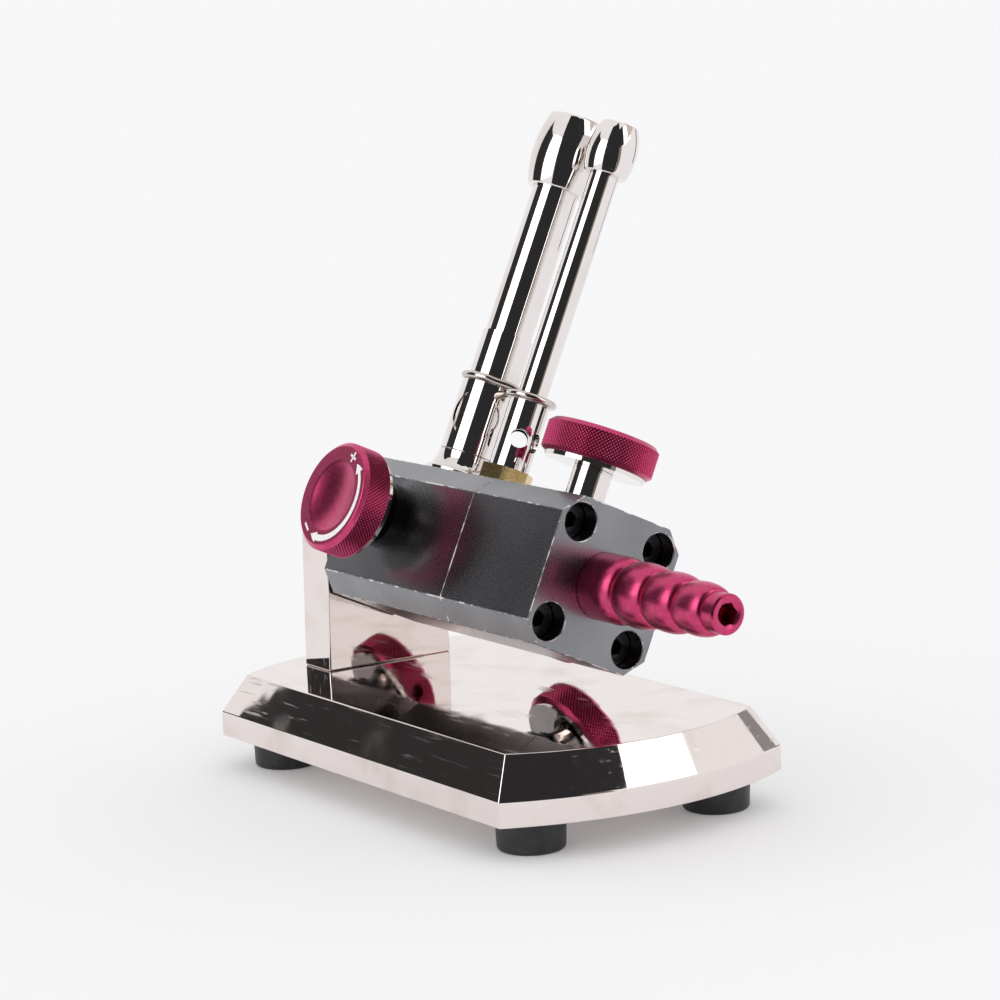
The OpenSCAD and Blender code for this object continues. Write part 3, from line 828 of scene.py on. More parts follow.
@dataclass
class Stand:
    """The plated base with its bowed, bevelled ends, the post and the rubber feet."""

    finishes: Finishes
    top_width: float = 58.6
    straight: float = 96.0
    bulge: float = 8.7
    bevel_x: float = 3.75
    bevel_y: float = 4.45
    bevel_drop: float = 7.9
    end_steps: int = 72
    post_width: float = 30.4
    crown_inset: float = 0.5
    bush_radius: float = 6.0
    nest_radius: float = 10.2
    nest_depth: float = 3.0
    foot_radius: float = 6.9
    foot_spread: float = 22.2
    foot_inset: float = 2.7
    foot_well_radius: float = 4.0
    foot_well: float = 3.0

    def __post_init__(self) -> None:
        """Reads the base's place from its CAD node."""
        low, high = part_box("base_plate")
        self.low, self.high = low, high
        middle = Vector(((low.x + high.x) / 2, (low.y + high.y) / 2, low.z))
        self.axes = Axes(middle, ALONG_BAR, UP)
        self.thick = (high.z - low.z) / MM

    def outline(self, grown: float, height: float) -> list[Vector]:
        """The base's outline at one height.

        Args:
            grown: Share of the bevel's run that is added: 0 at the top and 1 at the foot of the bevel.
            height: Height above the base's underside.

        Returns:
            Points round the outline.
        """
        half = self.top_width / 2 + grown * self.bevel_y
        end = self.straight / 2 + grown * self.bevel_x
        radius = (half * half + self.bulge * self.bulge) / (2 * self.bulge)
        sweep = math.asin(half / radius)
        middle = end + self.bulge - radius
        turn = steps_between(-sweep, sweep, self.end_steps)
        front = [Vector((middle, 0, 0)) + about(radius, a, height) for a in turn]
        return front + [Vector((-p.x, -p.y, height)) for p in front]

    def build_base(self) -> None:
        """Builds the base plate."""
        band = self.thick - self.bevel_drop
        bm = layered([self.outline(1, 0), self.outline(1, band), self.outline(0, self.thick)])
        ease_edges(bm, 0.2, 25.0)
        base = add_object("bevelled_base", bm, self.axes, [self.finishes.plate])
        shade(base, 60.0)
        settle(base, "stand", ["base_plate"])

    def build_post(self) -> None:
        """Builds the upright plate with its round crown, its bush hole and the nut's nest."""
        low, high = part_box("pivot_post")
        pivot = Station.TILT.axes().origin
        axes = Axes(Vector((low.x, pivot.y, low.z)), Vector((0, 1, 0)), Vector((1, 0, 0)))
        rise = (pivot.z - low.z) / MM
        crown = self.post_width / 2 - self.crown_inset
        turn = steps_between(0.0, math.pi, self.end_steps)
        side = [(crown * math.cos(a), rise + crown * math.sin(a)) for a in turn]
        outline = side + [(-self.post_width / 2, 0.0), (self.post_width / 2, 0.0)]
        thick = (high.x - low.x) / MM
        bm = layered([[Vector((x, y, z)) for x, y in outline] for z in (0.0, thick)])
        ease_edges(bm, 0.4, 40.0)
        post = add_object("pivot_plate", bm, axes, [self.finishes.plate])
        hub = axes.shifted(y=rise)
        bush, nut, deep = self.bush_radius, self.nest_radius, self.nest_depth
        bore = [(0, -1), (bush, -1), (bush, thick + 1), (0, thick + 1)]
        nest = [(0, -0.3), (nut + 0.6, -0.3), (nut, 0.3), (nut, deep), (0, deep)]
        cut(post, [add_object("well", turned(outline), hub, []) for outline in (bore, nest)])
        shade(post, 50.0)
        settle(post, "stand", ["pivot_post"])

    def build_feet(self) -> None:
        """Builds the four rubber feet as one piece."""
        rise = self.low.z / MM
        r, well, deep = self.foot_radius, self.foot_well_radius, self.foot_well
        inside = [(2.2, rise), (2.2, deep), (well, deep), (well, 0)]
        outline = rounded(inside + [(r - 0.75, 0), (r - 0.25, 0.5), (r, rise)], 0.35)
        whole = bmesh.new()
        for sx in (-1, 1):
            for sy in (-1, 1):
                one = turned(outline, 96)
                ahead = self.straight / 2 - self.foot_inset
                shift = Vector((sx * ahead, sy * self.foot_spread, -rise))
                bmesh.ops.translate(one, verts=one.verts, vec=shift)
                mesh = bpy.data.meshes.new("one_foot")
                one.to_mesh(mesh)
                one.free()
                whole.from_mesh(mesh)
                bpy.data.meshes.remove(mesh)
        feet = add_object("rubber_foot_set", whole, self.axes, [self.finishes.rubber])
        shade(feet)
        settle(feet, "stand", ["rubber_feet"])

    def build(self) -> None:
        """Builds the stand's meshes and dresses its small hardware."""
        self.build_base()
        self.build_post()
        self.build_feet()
        for node in ("post_screws", "foot_screws"):
            dress(node, self.finishes.screw)
        dress("pivot_bush", self.finishes.bronze)
        dress("friction_washer", self.finishes.fibre)


@dataclass
class Pivot:
    """The shaft and the hardware that turn with the bar."""

    finishes: Finishes

    def build(self) -> None:
        """Dresses the pivot's CAD nodes."""
        dress("pivot_spacer", self.finishes.mirror)
        for node in ("pivot_shaft", "spring_washer", "lock_nut"):
            dress(node, self.finishes.steel)


# ---------------------------------------------------------------------------
# The valve bar
# ---------------------------------------------------------------------------


@dataclass(frozen=True)
class Bore:
    """A round hole in the bar: where it is, how wide and how deep."""

    axes: Axes
    radius: float
    depth: float
    lip: float = 0.25
    past: float = 0.6

    def cutter(self, name: str) -> Piece:
        """The solid that cuts this bore, with its mouth at the axes' origin.

        Args:
            name: The cutter's name.

        Returns:
            The cutter, whose lip carries the second finish.
        """
        r, past = self.radius, self.past
        side = [(0, -self.depth), (r, -self.depth), (r, -self.lip)]
        outline = side + [(r + self.lip + past, past), (0, past)]
        bm = turned(outline, 128)
        for face in bm.faces:
            middle = face.calc_center_median()
            on_lip = -self.lip < middle.z < past - 1e-3 and abs(face.normal.z) > 0.1
            face.material_index = 1 if on_lip else 0
        return add_object(name, bm, self.axes, [])


@dataclass
class ValveBar:
    """The two anodised blocks that carry the burners and the valves."""

    finishes: Finishes
    width: float = 30.0
    chamfer: float = 4.0
    start: float = 14.9
    rear_length: float = 43.8
    front_length: float = 30.2
    edge_width: float = 0.17
    screw_spacing: float = 20.0
    well_radius: float = 3.7
    well_depth: float = 8.0
    gland_radius: float = 5.0
    gland_depth: float = 6.5
    shaft_radius: float = 4.03
    shaft_grip: float = 12.0
    main_stub: tuple[float, float] = (6.43, 3.5)
    pilot_stub: tuple[float, float] = (4.03, 5.0)
    barb_stub: tuple[float, float] = (5.03, 10.4)

    def __post_init__(self) -> None:
        """Takes the bar's axes from the tilt joint."""
        self.axes = Station.TILT.axes()
        self.seam = self.start + self.rear_length
        self.face = self.seam + self.front_length

    def profile(self) -> Outline:
        """The bar's eight-sided section."""
        h, c = self.width / 2, self.width / 2 - self.chamfer
        return [(h, -c), (h, c), (c, h), (-c, h), (-h, c), (-h, -c), (-c, -h), (c, -h)]

    def block(self, name: str, start: float, length: float) -> Piece:
        """One block with its edges broken.

        Args:
            name: The block's name.
            start: Distance of its rear face from the pivot.
            length: Its length.

        Returns:
            The block, without its bores.
        """
        loops = [[Vector((x, y, z)) for y, z in self.profile()] for x in (start, start + length)]
        bm = layered(loops)
        ease_edges(bm, self.edge_width, 30.0, finish_index=1, steps=2)
        return add_object(name, bm, self.axes, [self.finishes.grey, self.finishes.edge])

    def mouth(self, station: Station) -> Axes:
        """Finds the place where a valve's axis leaves the bar's side.

        Args:
            station: The valve's joint.

        Returns:
            The joint's axes, moved to that place.
        """
        knob = station.axes()
        inward = (knob.origin - self.axes.origin).dot(knob.z) / MM - self.width / 2
        return knob.shifted(z=-inward)

    def top_of(self, station: Station) -> Axes:
        """Finds the place where a burner's axis leaves the bar's top.

        Args:
            station: The burner's joint.

        Returns:
            The joint's axes, moved to that place.
        """
        burner = station.axes()
        rise = (burner.origin - self.axes.origin).dot(burner.z) / MM - self.width / 2
        return burner.shifted(z=-rise)

    def build_rear(self) -> None:
        """Builds the rear block."""
        rear = self.block("bar_rear_block", self.start, self.rear_length)
        back = Axes(self.axes.shifted(x=self.start).origin, self.axes.z, -self.axes.x)
        bores = [
            Bore(back, self.shaft_radius, self.shaft_grip),
            Bore(self.mouth(Station.MAIN_KNOB), self.gland_radius, self.gland_depth),
            Bore(self.mouth(Station.PILOT_KNOB), self.gland_radius, self.gland_depth),
            Bore(self.top_of(Station.MAIN_AIR), *self.main_stub),
            Bore(self.top_of(Station.PILOT_AIR), *self.pilot_stub),
        ]
        cut(rear, [b.cutter(f"rear_cut_{i}") for i, b in enumerate(bores)])
        shade(rear, 50.0)
        settle(rear, "head", ["rear_block"])

    def build_front(self) -> None:
        """Builds the front block with its four screw wells."""
        front = self.block("bar_front_block", self.seam, self.front_length)
        nose = self.axes.shifted(x=self.face).along_x()
        half = self.screw_spacing / 2
        bores = [
            Bore(nose.shifted(x=sx * half, y=sy * half), self.well_radius, self.well_depth)
            for sx in (-1, 1)
            for sy in (-1, 1)
        ]
        bores.append(Bore(nose, *self.barb_stub))
        bores.append(Bore(self.mouth(Station.STOP_KNOB), self.gland_radius, self.gland_depth))
        cut(front, [b.cutter(f"front_cut_{i}") for i, b in enumerate(bores)])
        shade(front, 50.0)
        settle(front, "head", ["front_block"])

    def build(self) -> None:
        """Builds both blocks and dresses the screws and the seals."""
        self.build_rear()
        self.build_front()
        dress("cap_screws", self.finishes.screw)
        for node in ("block_seal", "barb_seal"):
            dress(node, self.finishes.seal)


@dataclass
class HoseBarb:
    """The turned inlet with three swellings and a hexagonal key in its end."""

    finishes: Finishes
    bar: ValveBar
    base_radius: float = 6.65
    base_length: float = 6.0
    crests: tuple[tuple[float, float], ...] = ((13.2, 6.4), (22.9, 5.86), (31.0, 5.2))
    grooves: tuple[tuple[float, float], ...] = ((9.4, 5.2), (18.1, 4.9), (27.0, 4.3))
    stub_radius: float = 5.0
    stub_length: float = 10.0
    tip_radius: float = 3.9
    tip_start: float = 35.0
    length: float = 38.6
    bore_radius: float = 1.5
    key_flats: float = 4.0
    key_depth: float = 5.0

    def swell(self, crest: tuple[float, float], groove: tuple[float, float], steps: int = 18) -> Outline:
        """The quarter of a swelling from its crest down to a groove.

        Args:
            crest: Station and radius of the crest.
            groove: Station and radius of the groove.
            steps: Segments of the quarter.

        Returns:
            Points of (radius, station).
        """
        turn = steps_between(0.0, math.pi / 2, steps)
        fall, run = crest[1] - groove[1], groove[0] - crest[0]
        return [(groove[1] + fall * math.cos(a), crest[0] + run * math.sin(a)) for a in turn]

    def outline(self) -> Outline:
        """The barb's outline from its stub to its tip."""
        made: Outline = [(self.bore_radius, -self.stub_length), (self.stub_radius, -self.stub_length)]
        made += [(self.stub_radius, 0.0), (self.base_radius - 0.25, 0.0), (self.base_radius, 0.25)]
        before = (self.base_length, self.base_radius)
        for crest, groove in zip(self.crests, self.grooves):
            made += self.swell(before, groove)
            made += list(reversed(self.swell(crest, groove)))[1:]
            before = crest
        last_station, last_radius = self.crests[-1]
        made += self.swell((last_station, last_radius), (self.tip_start, self.tip_radius))[1:]
        made += [(self.tip_radius, self.length - 0.35), (self.tip_radius - 0.35, self.length)]
        made += [(self.bore_radius, self.length)]
        return made

    def build(self) -> None:
        """Builds the barb and its key."""
        axes = self.bar.axes.shifted(x=self.bar.face).along_x()
        barb = add_object("hose_inlet", turned(self.outline(), 192), axes, [self.finishes.magenta])
        across, past, tip = self.key_flats / math.sqrt(3), 0.5, axes.shifted(z=self.length)
        rim = across + past
        key = [(0, -self.key_depth), (across, -self.key_depth), (across, past), (0, past)]
        sink = [(0, -0.6), (across * 0.82, -0.6), (rim, past * 0.4), (rim, past), (0, past)]
        shapes = (("key", turned(key, 6)), ("countersink", turned(sink, 64)))
        cut(barb, [add_object(name, shape, tip, []) for name, shape in shapes])
        shade(barb, 42.0)
        settle(barb, "head", ["hose_barb"])


# ---------------------------------------------------------------------------
# Valves
# ---------------------------------------------------------------------------


class ValveSide(Enum):
    """The three valves, with the station that each is turned about."""

    MAIN = ("main", Station.MAIN_KNOB)
    PILOT = ("pilot", Station.PILOT_KNOB)
    STOP = ("stop", Station.STOP_KNOB)

    @property
    def label(self) -> str:
        """The word that its nodes' and bodies' names start with."""
        return self.value[0]

    @property
    def station(self) -> Station:
        """The joint that its knob turns on."""
        return self.value[1]


@dataclass
class Knob:
    """A knurled knob with a dished face and a double arrow in its rim's flat ring."""

    finishes: Finishes
    side: ValveSide
    radius: float = 11.45
    thick: float = 6.7
    back_chamfer: float = 0.8
    face_chamfer: float = 0.95
    rim_start: float = 0.75
    rim_end: float = 5.75
    diamonds: int = 92
    rows: int = 12
    knurl_depth: float = 0.26
    dish_radius: float = 7.4
    dish_depth: float = 1.4
    bore_radius: float = 2.53
    bore_depth: float = 4.6
    grub_radius: float = 1.53
    grub_height: float = 2.4
    arrow_radius: float = 9.05
    arrow_from: float = 53.0
    arrow_to: float = -109.0
    arrow_head: float = 14.0
    arrow_steps: int = 64
    line_half_widths: tuple[float, float] = (0.68, 0.38)
    head_half_widths: tuple[float, float, float] = (1.12, 0.62, 0.04)
    open_mark: float = 69.0
    shut_mark: float = -126.0
    bar_reach: float = 1.15
    bar_half_width: float = 0.24
    mark_lift: float = 0.05

    def body_mesh(self) -> Shape:
        """The knob's mesh, with its knurled rim as rows of pyramids."""
        bm = bmesh.new()
        crest_pale_groove_shade = bm.verts.layers.float.new("crest_pale_groove_shade")
        turn = once_round(2 * self.diamonds)

        def ring(r: float, z: float) -> list:
            """A plain ring of vertices, or one vertex on the axis."""
            return [bm.verts.new(about(r, a, z)) for a in (turn if r > ON_AXIS else [0.0])]

        def knurl_ring(row: int) -> list:
            """Adds one row of the knurling.

            Args:
                row: The row's number, from the back.

            Returns:
                Its vertices: crests and grooves in turn.
            """
            z = self.rim_start + (self.rim_end - self.rim_start) * row / self.rows
            made = []
            for i, a in enumerate(turn):
                crest = (i + row) % 2
                r = self.radius - (0.0 if crest else self.knurl_depth)
                vertex = bm.verts.new(about(r, a, z))
                # crests are marked to be paler, and grooves are marked for painted shade
                vertex[crest_pale_groove_shade] = 1.0 if crest else -1.0
                made.append(vertex)
            return made

        inner = [(0.0, self.bore_depth), (self.bore_radius, self.bore_depth), (self.bore_radius, 0.0)]
        rings = [ring(r, z) for r, z in inner]
        back = self.radius - self.back_chamfer
        rings += [ring(back - 0.15, 0.0), ring(back, 0.06)]
        rings += [ring(self.radius - 0.12, self.rim_start - 0.12)]
        knurled = [knurl_ring(row) for row in range(self.rows + 1)]
        flat = self.radius - self.face_chamfer
        after = [ring(self.radius - 0.12, self.rim_end + 0.1), ring(flat + 0.07, self.thick - 0.08)]
        after += [ring(flat - 0.1, self.thick), ring(self.dish_radius + 0.15, self.thick)]
        bow = (self.dish_radius**2 + self.dish_depth**2) / (2 * self.dish_depth)
        sweep = math.asin(self.dish_radius / bow)
        for k in range(CURVE_STEPS + 1):
            a = sweep * (1 - k / CURVE_STEPS)
            rise = bow * (1 - math.cos(a)) - (0.03 if k == 0 else 0)
            after.append(ring(bow * math.sin(a), self.thick - self.dish_depth + rise))
        rings.append(knurled[0])
        for lower, upper in zip(rings, rings[1:]):
            join_rings(bm, lower, upper)
        for row, (lower, upper) in enumerate(zip(knurled, knurled[1:])):
            self.join_knurl(bm, lower, upper, row)
        after.insert(0, knurled[-1])
        for lower, upper in zip(after, after[1:]):
            join_rings(bm, lower, upper)
        bmesh.ops.recalc_face_normals(bm, faces=bm.faces)
        return bm

    def join_knurl(self, bm: Shape, lower: list, upper: list, row: int) -> None:
        """Joins two rows of the knurling with triangles that meet along the grooves.

        Args:
            bm: The knob's mesh.
            lower: The row below.
            upper: The row above.
            row: The number of the row below.
        """
        count = len(lower)
        for i in range(count):
            j = (i + 1) % count
            a, b, c, d = lower[i], lower[j], upper[j], upper[i]
            halves = ((a, b, c), (a, c, d)) if (i + row) % 2 == 0 else ((a, b, d), (b, c, d))
            for half in halves:
                bm.faces.new(half)

    def build_body(self) -> None:
        """Builds the knob with its grub-screw hole."""
        axes = self.side.station.axes()
        name = f"{self.side.label}_knurled_knob"
        knob = add_object(name, self.body_mesh(), axes, [self.finishes.magenta])
        hole_axes = Axes(axes.shifted(z=self.grub_height).origin, axes.z, -axes.x)
        reach = self.radius + 1
        outline = [(0, 1.0), (self.grub_radius, 1.0), (self.grub_radius, reach), (0, reach)]
        cut(knob, [add_object("grub_hole", turned(outline, 48), hole_axes, [])])
        shade(knob, 14.0)
        settle(knob, f"{self.side.label}_valve", [f"{self.side.label}_knob"])

    def strip(self, bm: Shape, left: list[Vector], right: list[Vector], lift: float) -> None:
        """Adds a thin raised strip between two lines of points.

        Args:
            bm: The marks' mesh.
            left: Points along one side.
            right: Points along the other side.
            lift: The strip's height.
        """
        up = Vector((0, 0, lift))
        tops = [[bm.verts.new(p + up) for p in line] for line in (left, right)]
        feet = [[bm.verts.new(p) for p in line] for line in (left, right)]
        for i in range(len(left) - 1):
            j = i + 1
            bm.faces.new((tops[0][i], tops[0][j], tops[1][j], tops[1][i]))
            bm.faces.new((feet[0][i], feet[1][i], feet[1][j], feet[0][j]))
            bm.faces.new((tops[0][i], feet[0][i], feet[0][j], tops[0][j]))
            bm.faces.new((tops[1][i], tops[1][j], feet[1][j], feet[1][i]))
        for k in (0, -1):
            bm.faces.new((tops[0][k], tops[1][k], feet[1][k], feet[0][k]))

    def on_ring(self, radius: float, degrees: float) -> Vector:
        """A point of the knob's flat ring, just under its surface."""
        return about(radius, math.radians(degrees), self.thick - 0.02)

    def add_band(self, bm: Shape, spread: Iterable[tuple[float, float]]) -> None:
        """Adds a strip round the knob's flat ring.

        Args:
            bm: The marks' mesh.
            spread: Pairs of an angle in degrees and the strip's half-width there.
        """
        spread = list(spread)
        sides = [[self.on_ring(self.arrow_radius + k * w, a) for a, w in spread] for k in (-1, 1)]
        self.strip(bm, *sides, self.mark_lift)

    def add_bar(self, bm: Shape, middle: Vector, along: Vector, beside: Vector) -> None:
        """Adds one short straight bar of a plus or a minus.

        Args:
            bm: The marks' mesh.
            middle: The bar's middle.
            along: The direction that it runs in.
            beside: The direction across it.
        """
        long, half = along * self.bar_reach, beside * self.bar_half_width
        sides = [[middle - long + k * half, middle + long + k * half] for k in (-1, 1)]
        self.strip(bm, *sides, self.mark_lift)

    def build_marks(self) -> None:
        """Builds the double arrow with a plus at its open end and a minus at its shut end."""
        bm = bmesh.new()
        low, high = self.arrow_to + self.arrow_head, self.arrow_from - self.arrow_head
        sweep = steps_between(low, high, self.arrow_steps)
        self.add_band(bm, zip(sweep, steps_between(*self.line_half_widths, self.arrow_steps)))
        for tip, root in ((self.arrow_to, low), (self.arrow_from, high)):
            self.add_band(bm, zip((root, (root + tip) / 2, tip), self.head_half_widths))
        for angle, crossed in ((self.open_mark, True), (self.shut_mark, False)):
            middle = self.on_ring(self.arrow_radius, angle)
            away, across = (about(1.0, math.radians(angle + turn)) for turn in (0.0, 90.0))
            self.add_bar(bm, middle, across, away)
            if crossed:
                self.add_bar(bm, middle, away, across)
        bmesh.ops.recalc_face_normals(bm, faces=bm.faces)
        name = f"{self.side.label}_knob_marks"
        marks = add_object(name, bm, self.side.station.axes(), [self.finishes.white])
        settle(marks, f"{self.side.label}_valve")

    def build(self) -> None:
        """Builds the knob and its marks."""
        self.build_body()
        self.build_marks()


@dataclass
class Valve:
    """One valve: its knob, skirt, spindle, gland, seal and grub screw."""

    finishes: Finishes
    side: ValveSide

    def build(self) -> None:
        """Builds the knob and dresses the rest."""
        Knob(self.finishes, self.side).build()
        label = self.side.label
        own = self.finishes
        nodes = {
            "skirt": own.mirror,
            "spindle": own.mirror,
            "gland": own.steel if self.side is ValveSide.STOP else own.gland,
            "gland_seal": own.seal,
            "set_screw": own.screw,
        }
        for node, material in nodes.items():
            dress(f"{label}_{node}", material)


# ---------------------------------------------------------------------------
# Burners
# ---------------------------------------------------------------------------


def barrel(
    foot: float, foot_radius: float, mouth: float, mouth_radius: float, swell: float, steps: int = 48
) -> Outline:
    """The swelling side of a flame cup.

    Args:
        foot: Height where it starts.
        foot_radius: Radius there.
        mouth: Height where it ends.
        mouth_radius: Radius there.
        swell: How far it stands out halfway.
        steps: Segments of the side.

    Returns:
        Points of (radius, height).
    """
    made = []
    for i in range(steps + 1):
        t = i / steps
        r = foot_radius + (mouth_radius - foot_radius) * t + swell * 4 * t * (1 - t)
        made.append((r, foot + (mouth - foot) * t))
    return made


@dataclass(frozen=True)
class CupSizes:
    """Sizes of a flame cup, measured up the burner's axis from its air hole."""

    foot: float
    mouth: float
    foot_radius: float
    mouth_radius: float
    swell: float
    tube_radius: float
    inside: tuple[float, float]
    tube_end: float


@dataclass
class MainBurner:
    """The wide burner: flange, tube, air collar, sleeve and cup."""

    finishes: Finishes
    bar: ValveBar
    cup: CupSizes = CupSizes(
        foot=50.3,
        mouth=65.9,
        foot_radius=6.2,
        mouth_radius=6.1,
        swell=1.25,
        tube_radius=4.93,
        inside=(5.3, 5.5),
        tube_end=55.8,
    )
    flange_radius: float = 8.0
    flange_thick: float = 1.3
    neck_radius: float = 6.3
    neck_top: float = 5.2
    flare: float = 3.8
    stub_radius: float = 6.4
    stub_length: float = 3.45
    tube_radius: float = 4.93
    seat_radius: float = 5.86
    collar_radius: float = 6.2
    collar_span: tuple[float, float] = (-7.9, 7.2)
    collar_hole: float = 4.8
    seat_hole: float = 3.0
    hole_bearing: float = -51.0

    def build_flange(self) -> None:
        """Builds the flared flange that seats the tube on the bar."""
        wide, neck, thick = self.flange_radius, self.neck_radius, self.flange_thick
        flare = []
        for a in steps_between(0.0, math.pi / 2, CURVE_STEPS):
            grown = (wide - neck) * (1 - math.sin(a))
            flare.append((neck + grown, thick + self.flare * (1 - math.cos(a))))
        bore, stub, step = 4.0, self.stub_radius, 1.2
        outline = [(bore, -self.stub_length), (stub, -self.stub_length), (stub, 0.0)]
        outline += [(wide - 0.2, 0.0), (wide, 0.2), (wide, thick - 0.25), (wide - 0.2, thick)]
        outline += flare[2:] + [(neck, self.neck_top - 0.2), (neck - 0.2, self.neck_top)]
        outline += [(self.tube_radius, self.neck_top), (self.tube_radius, step), (bore, step)]
        axes = self.bar.top_of(Station.MAIN_AIR)
        flange = add_object("main_flared_flange", turned(outline), axes, [self.finishes.mirror])
        shade(flange)
        settle(flange, "head", ["main_flange"])

    def build_collar(self) -> None:
        """Builds the thin air collar and the thick seat that it turns on, each with its hole."""
        axes = Station.MAIN_AIR.axes()
        low, high = self.collar_span
        tube, seat, outside = self.tube_radius, self.seat_radius, self.collar_radius
        ring = [(tube, low + 0.1), (seat, low + 0.1), (seat, high - 0.1), (tube, high - 0.1)]
        held = add_object("main_collar_seat", turned(ring, 192), axes, [self.finishes.mirror])
        shell = rounded([(seat + 0.02, low), (outside, low), (outside, high), (seat + 0.02, high)], 0.12)
        collar = add_object("main_thin_collar", turned(shell, 192), axes, [self.finishes.mirror])
        holes = ((held, self.seat_hole, 90.0), (collar, self.collar_hole, 0.0))
        for piece, radius, turned_by in holes:
            facing = axes.spun(self.hole_bearing + turned_by)
            through = Axes(facing.origin, facing.y, facing.x)
            start, lip = (-outside - 1, 0.0) if piece is held else (0.0, 0.26)
            reach = math.sqrt(outside**2 - radius**2) if lip else outside + 1
            outline = [(0, start), (radius, start), (radius, reach - 1.2)]
            outline += [(radius + lip, reach + 1.6), (0, reach + 1.6)]
            cut(piece, [add_object("air_hole", turned(outline, 128), through, [])])
            shade(piece, 50.0)
        settle(held, "head")
        settle(collar, "main_air_collar", ["main_collar"])

    def build(self) -> None:
        """Builds the flange, the collar and the cup, and dresses the rest."""
        self.build_flange()
        self.build_collar()
        build_cup("main_flame_cup", "main_cup", Station.MAIN_AIR, self.cup, self.finishes)
        for node in ("main_tube", "main_sleeve"):
            dress(node, self.finishes.mirror)
        dress("main_jet", self.finishes.brass)


def build_cup(name: str, node: str, station: Station, cup: CupSizes, finishes: Finishes) -> None:
    """Builds a flame cup with a fine rounded lip.

    Args:
        name: The piece's name.
        node: The CAD node that it stands for.
        station: The burner that it belongs to.
        cup: Its sizes.
        finishes: The shared materials.
    """
    ease, lip = 0.12, 0.15
    throat, inside = cup.inside
    outline = barrel(cup.foot + ease, cup.foot_radius, cup.mouth - lip, cup.mouth_radius, cup.swell)
    outline += [(cup.mouth_radius - ease, cup.mouth), (inside + ease, cup.mouth)]
    outline += [(inside, cup.mouth - lip)]
    outline += [(throat, cup.tube_end + 0.3), (cup.tube_radius, cup.tube_end + 0.1)]
    outline += [(cup.tube_radius, cup.foot), (cup.foot_radius - 0.15, cup.foot)]
    made = add_object(name, turned(outline, 192), station.axes(), [finishes.mirror])
    shade(made)
    settle(made, "head", [node])


@dataclass
class PilotBurner:
    """The thin burner on its brass adapter, with its split air collar."""

    finishes: Finishes
    cup: CupSizes = CupSizes(
        foot=57.2,
        mouth=68.1,
        foot_radius=4.4,
        mouth_radius=3.95,
        swell=1.05,
        tube_radius=3.07,
        inside=(3.3, 3.5),
        tube_end=60.6,
    )

    def build(self) -> None:
        """Builds the cup and dresses the rest."""
        build_cup("pilot_flame_cup", "pilot_cup", Station.PILOT_AIR, self.cup, self.finishes)
        for node in ("pilot_tube", "pilot_collar"):
            dress(node, self.finishes.mirror)
        for node in ("pilot_adapter", "pilot_jet"):
            dress(node, self.finishes.brass)


@dataclass
class WireClip:
    """The figure-of-eight wire that holds the two tubes together."""

    finishes: Finishes
    wire: float = 0.8
    main_loop: float = 6.0
    pilot_loop: float = 4.62
    main_rise: float = 8.05
    pilot_rise: float = 8.65
    cross_gap: float = 0.66

    def path(self) -> list[Vector]:
        """The wire's centreline in the row frame, in metres."""
        main = Station.MAIN_AIR.axes().shifted(z=self.main_rise)
        pilot = Station.PILOT_AIR.axes().shifted(z=self.pilot_rise)
        spread = (pilot.origin - main.origin).dot(main.x) / MM
        lean = math.acos((self.main_loop + self.pilot_loop) / spread)

        def bow(axes: Axes, radius: float, start: float, end: float, steps: int) -> list[Vector]:
            """Lays out one loop.

            Args:
                axes: The loop's middle.
                radius: Its radius.
                start: Angle where it starts, in radians.
                end: Angle where it ends, in radians.
                steps: Number of its segments.

            Returns:
                Points of the loop.
            """
            turn = steps_between(start, end, steps)
            return [axes.shifted(radius * math.cos(a), radius * math.sin(a)).origin for a in turn]

        def leap(a: Vector, b: Vector, side: float) -> list[Vector]:
            """Lays out a crossing, which passes over or under the other one.

            Args:
                a: Where it starts.
                b: Where it ends.
                side: 1 to pass over and -1 to pass under.

            Returns:
                The points between the two ends.
            """
            rise = main.z * (side * self.cross_gap * MM)
            inner = steps_between(0.0, 1.0, 12)[1:-1]
            return [a.lerp(b, t) + rise * math.sin(math.pi * t) ** 2 for t in inner]

        first = bow(main, self.main_loop, lean, 2 * math.pi - lean, 96)
        second = bow(pilot, self.pilot_loop, math.pi - lean, lean - math.pi, 96)
        return first + leap(first[-1], second[0], 1.0) + second + leap(second[-1], first[0], -1.0)

    def build(self) -> None:
        """Sweeps the wire along its path."""
        line = bpy.data.curves.new("clip_line", "CURVE")
        line.dimensions = "3D"
        line.bevel_depth = self.wire * MM
        line.bevel_resolution = 7
        points = self.path()
        spline = line.splines.new("POLY")
        spline.points.add(len(points) - 1)
        for held, p in zip(spline.points, points):
            held.co = (*p, 1.0)
        spline.use_cyclic_u = True
        source = linked("clip_line", line)
        graph = bpy.context.evaluated_depsgraph_get()
        mesh = bpy.data.meshes.new_from_object(source.evaluated_get(graph))
        mesh.name = "wire_clip"
        bpy.data.objects.remove(source)
        mesh.materials.clear()
        mesh.materials.append(self.finishes.wire)
        clip = linked("wire_clip", mesh)
        for face in mesh.polygons:
            face.use_smooth = True
        settle(clip, "head", ["tube_clip"])


# ---------------------------------------------------------------------------
# Studio
# ---------------------------------------------------------------------------


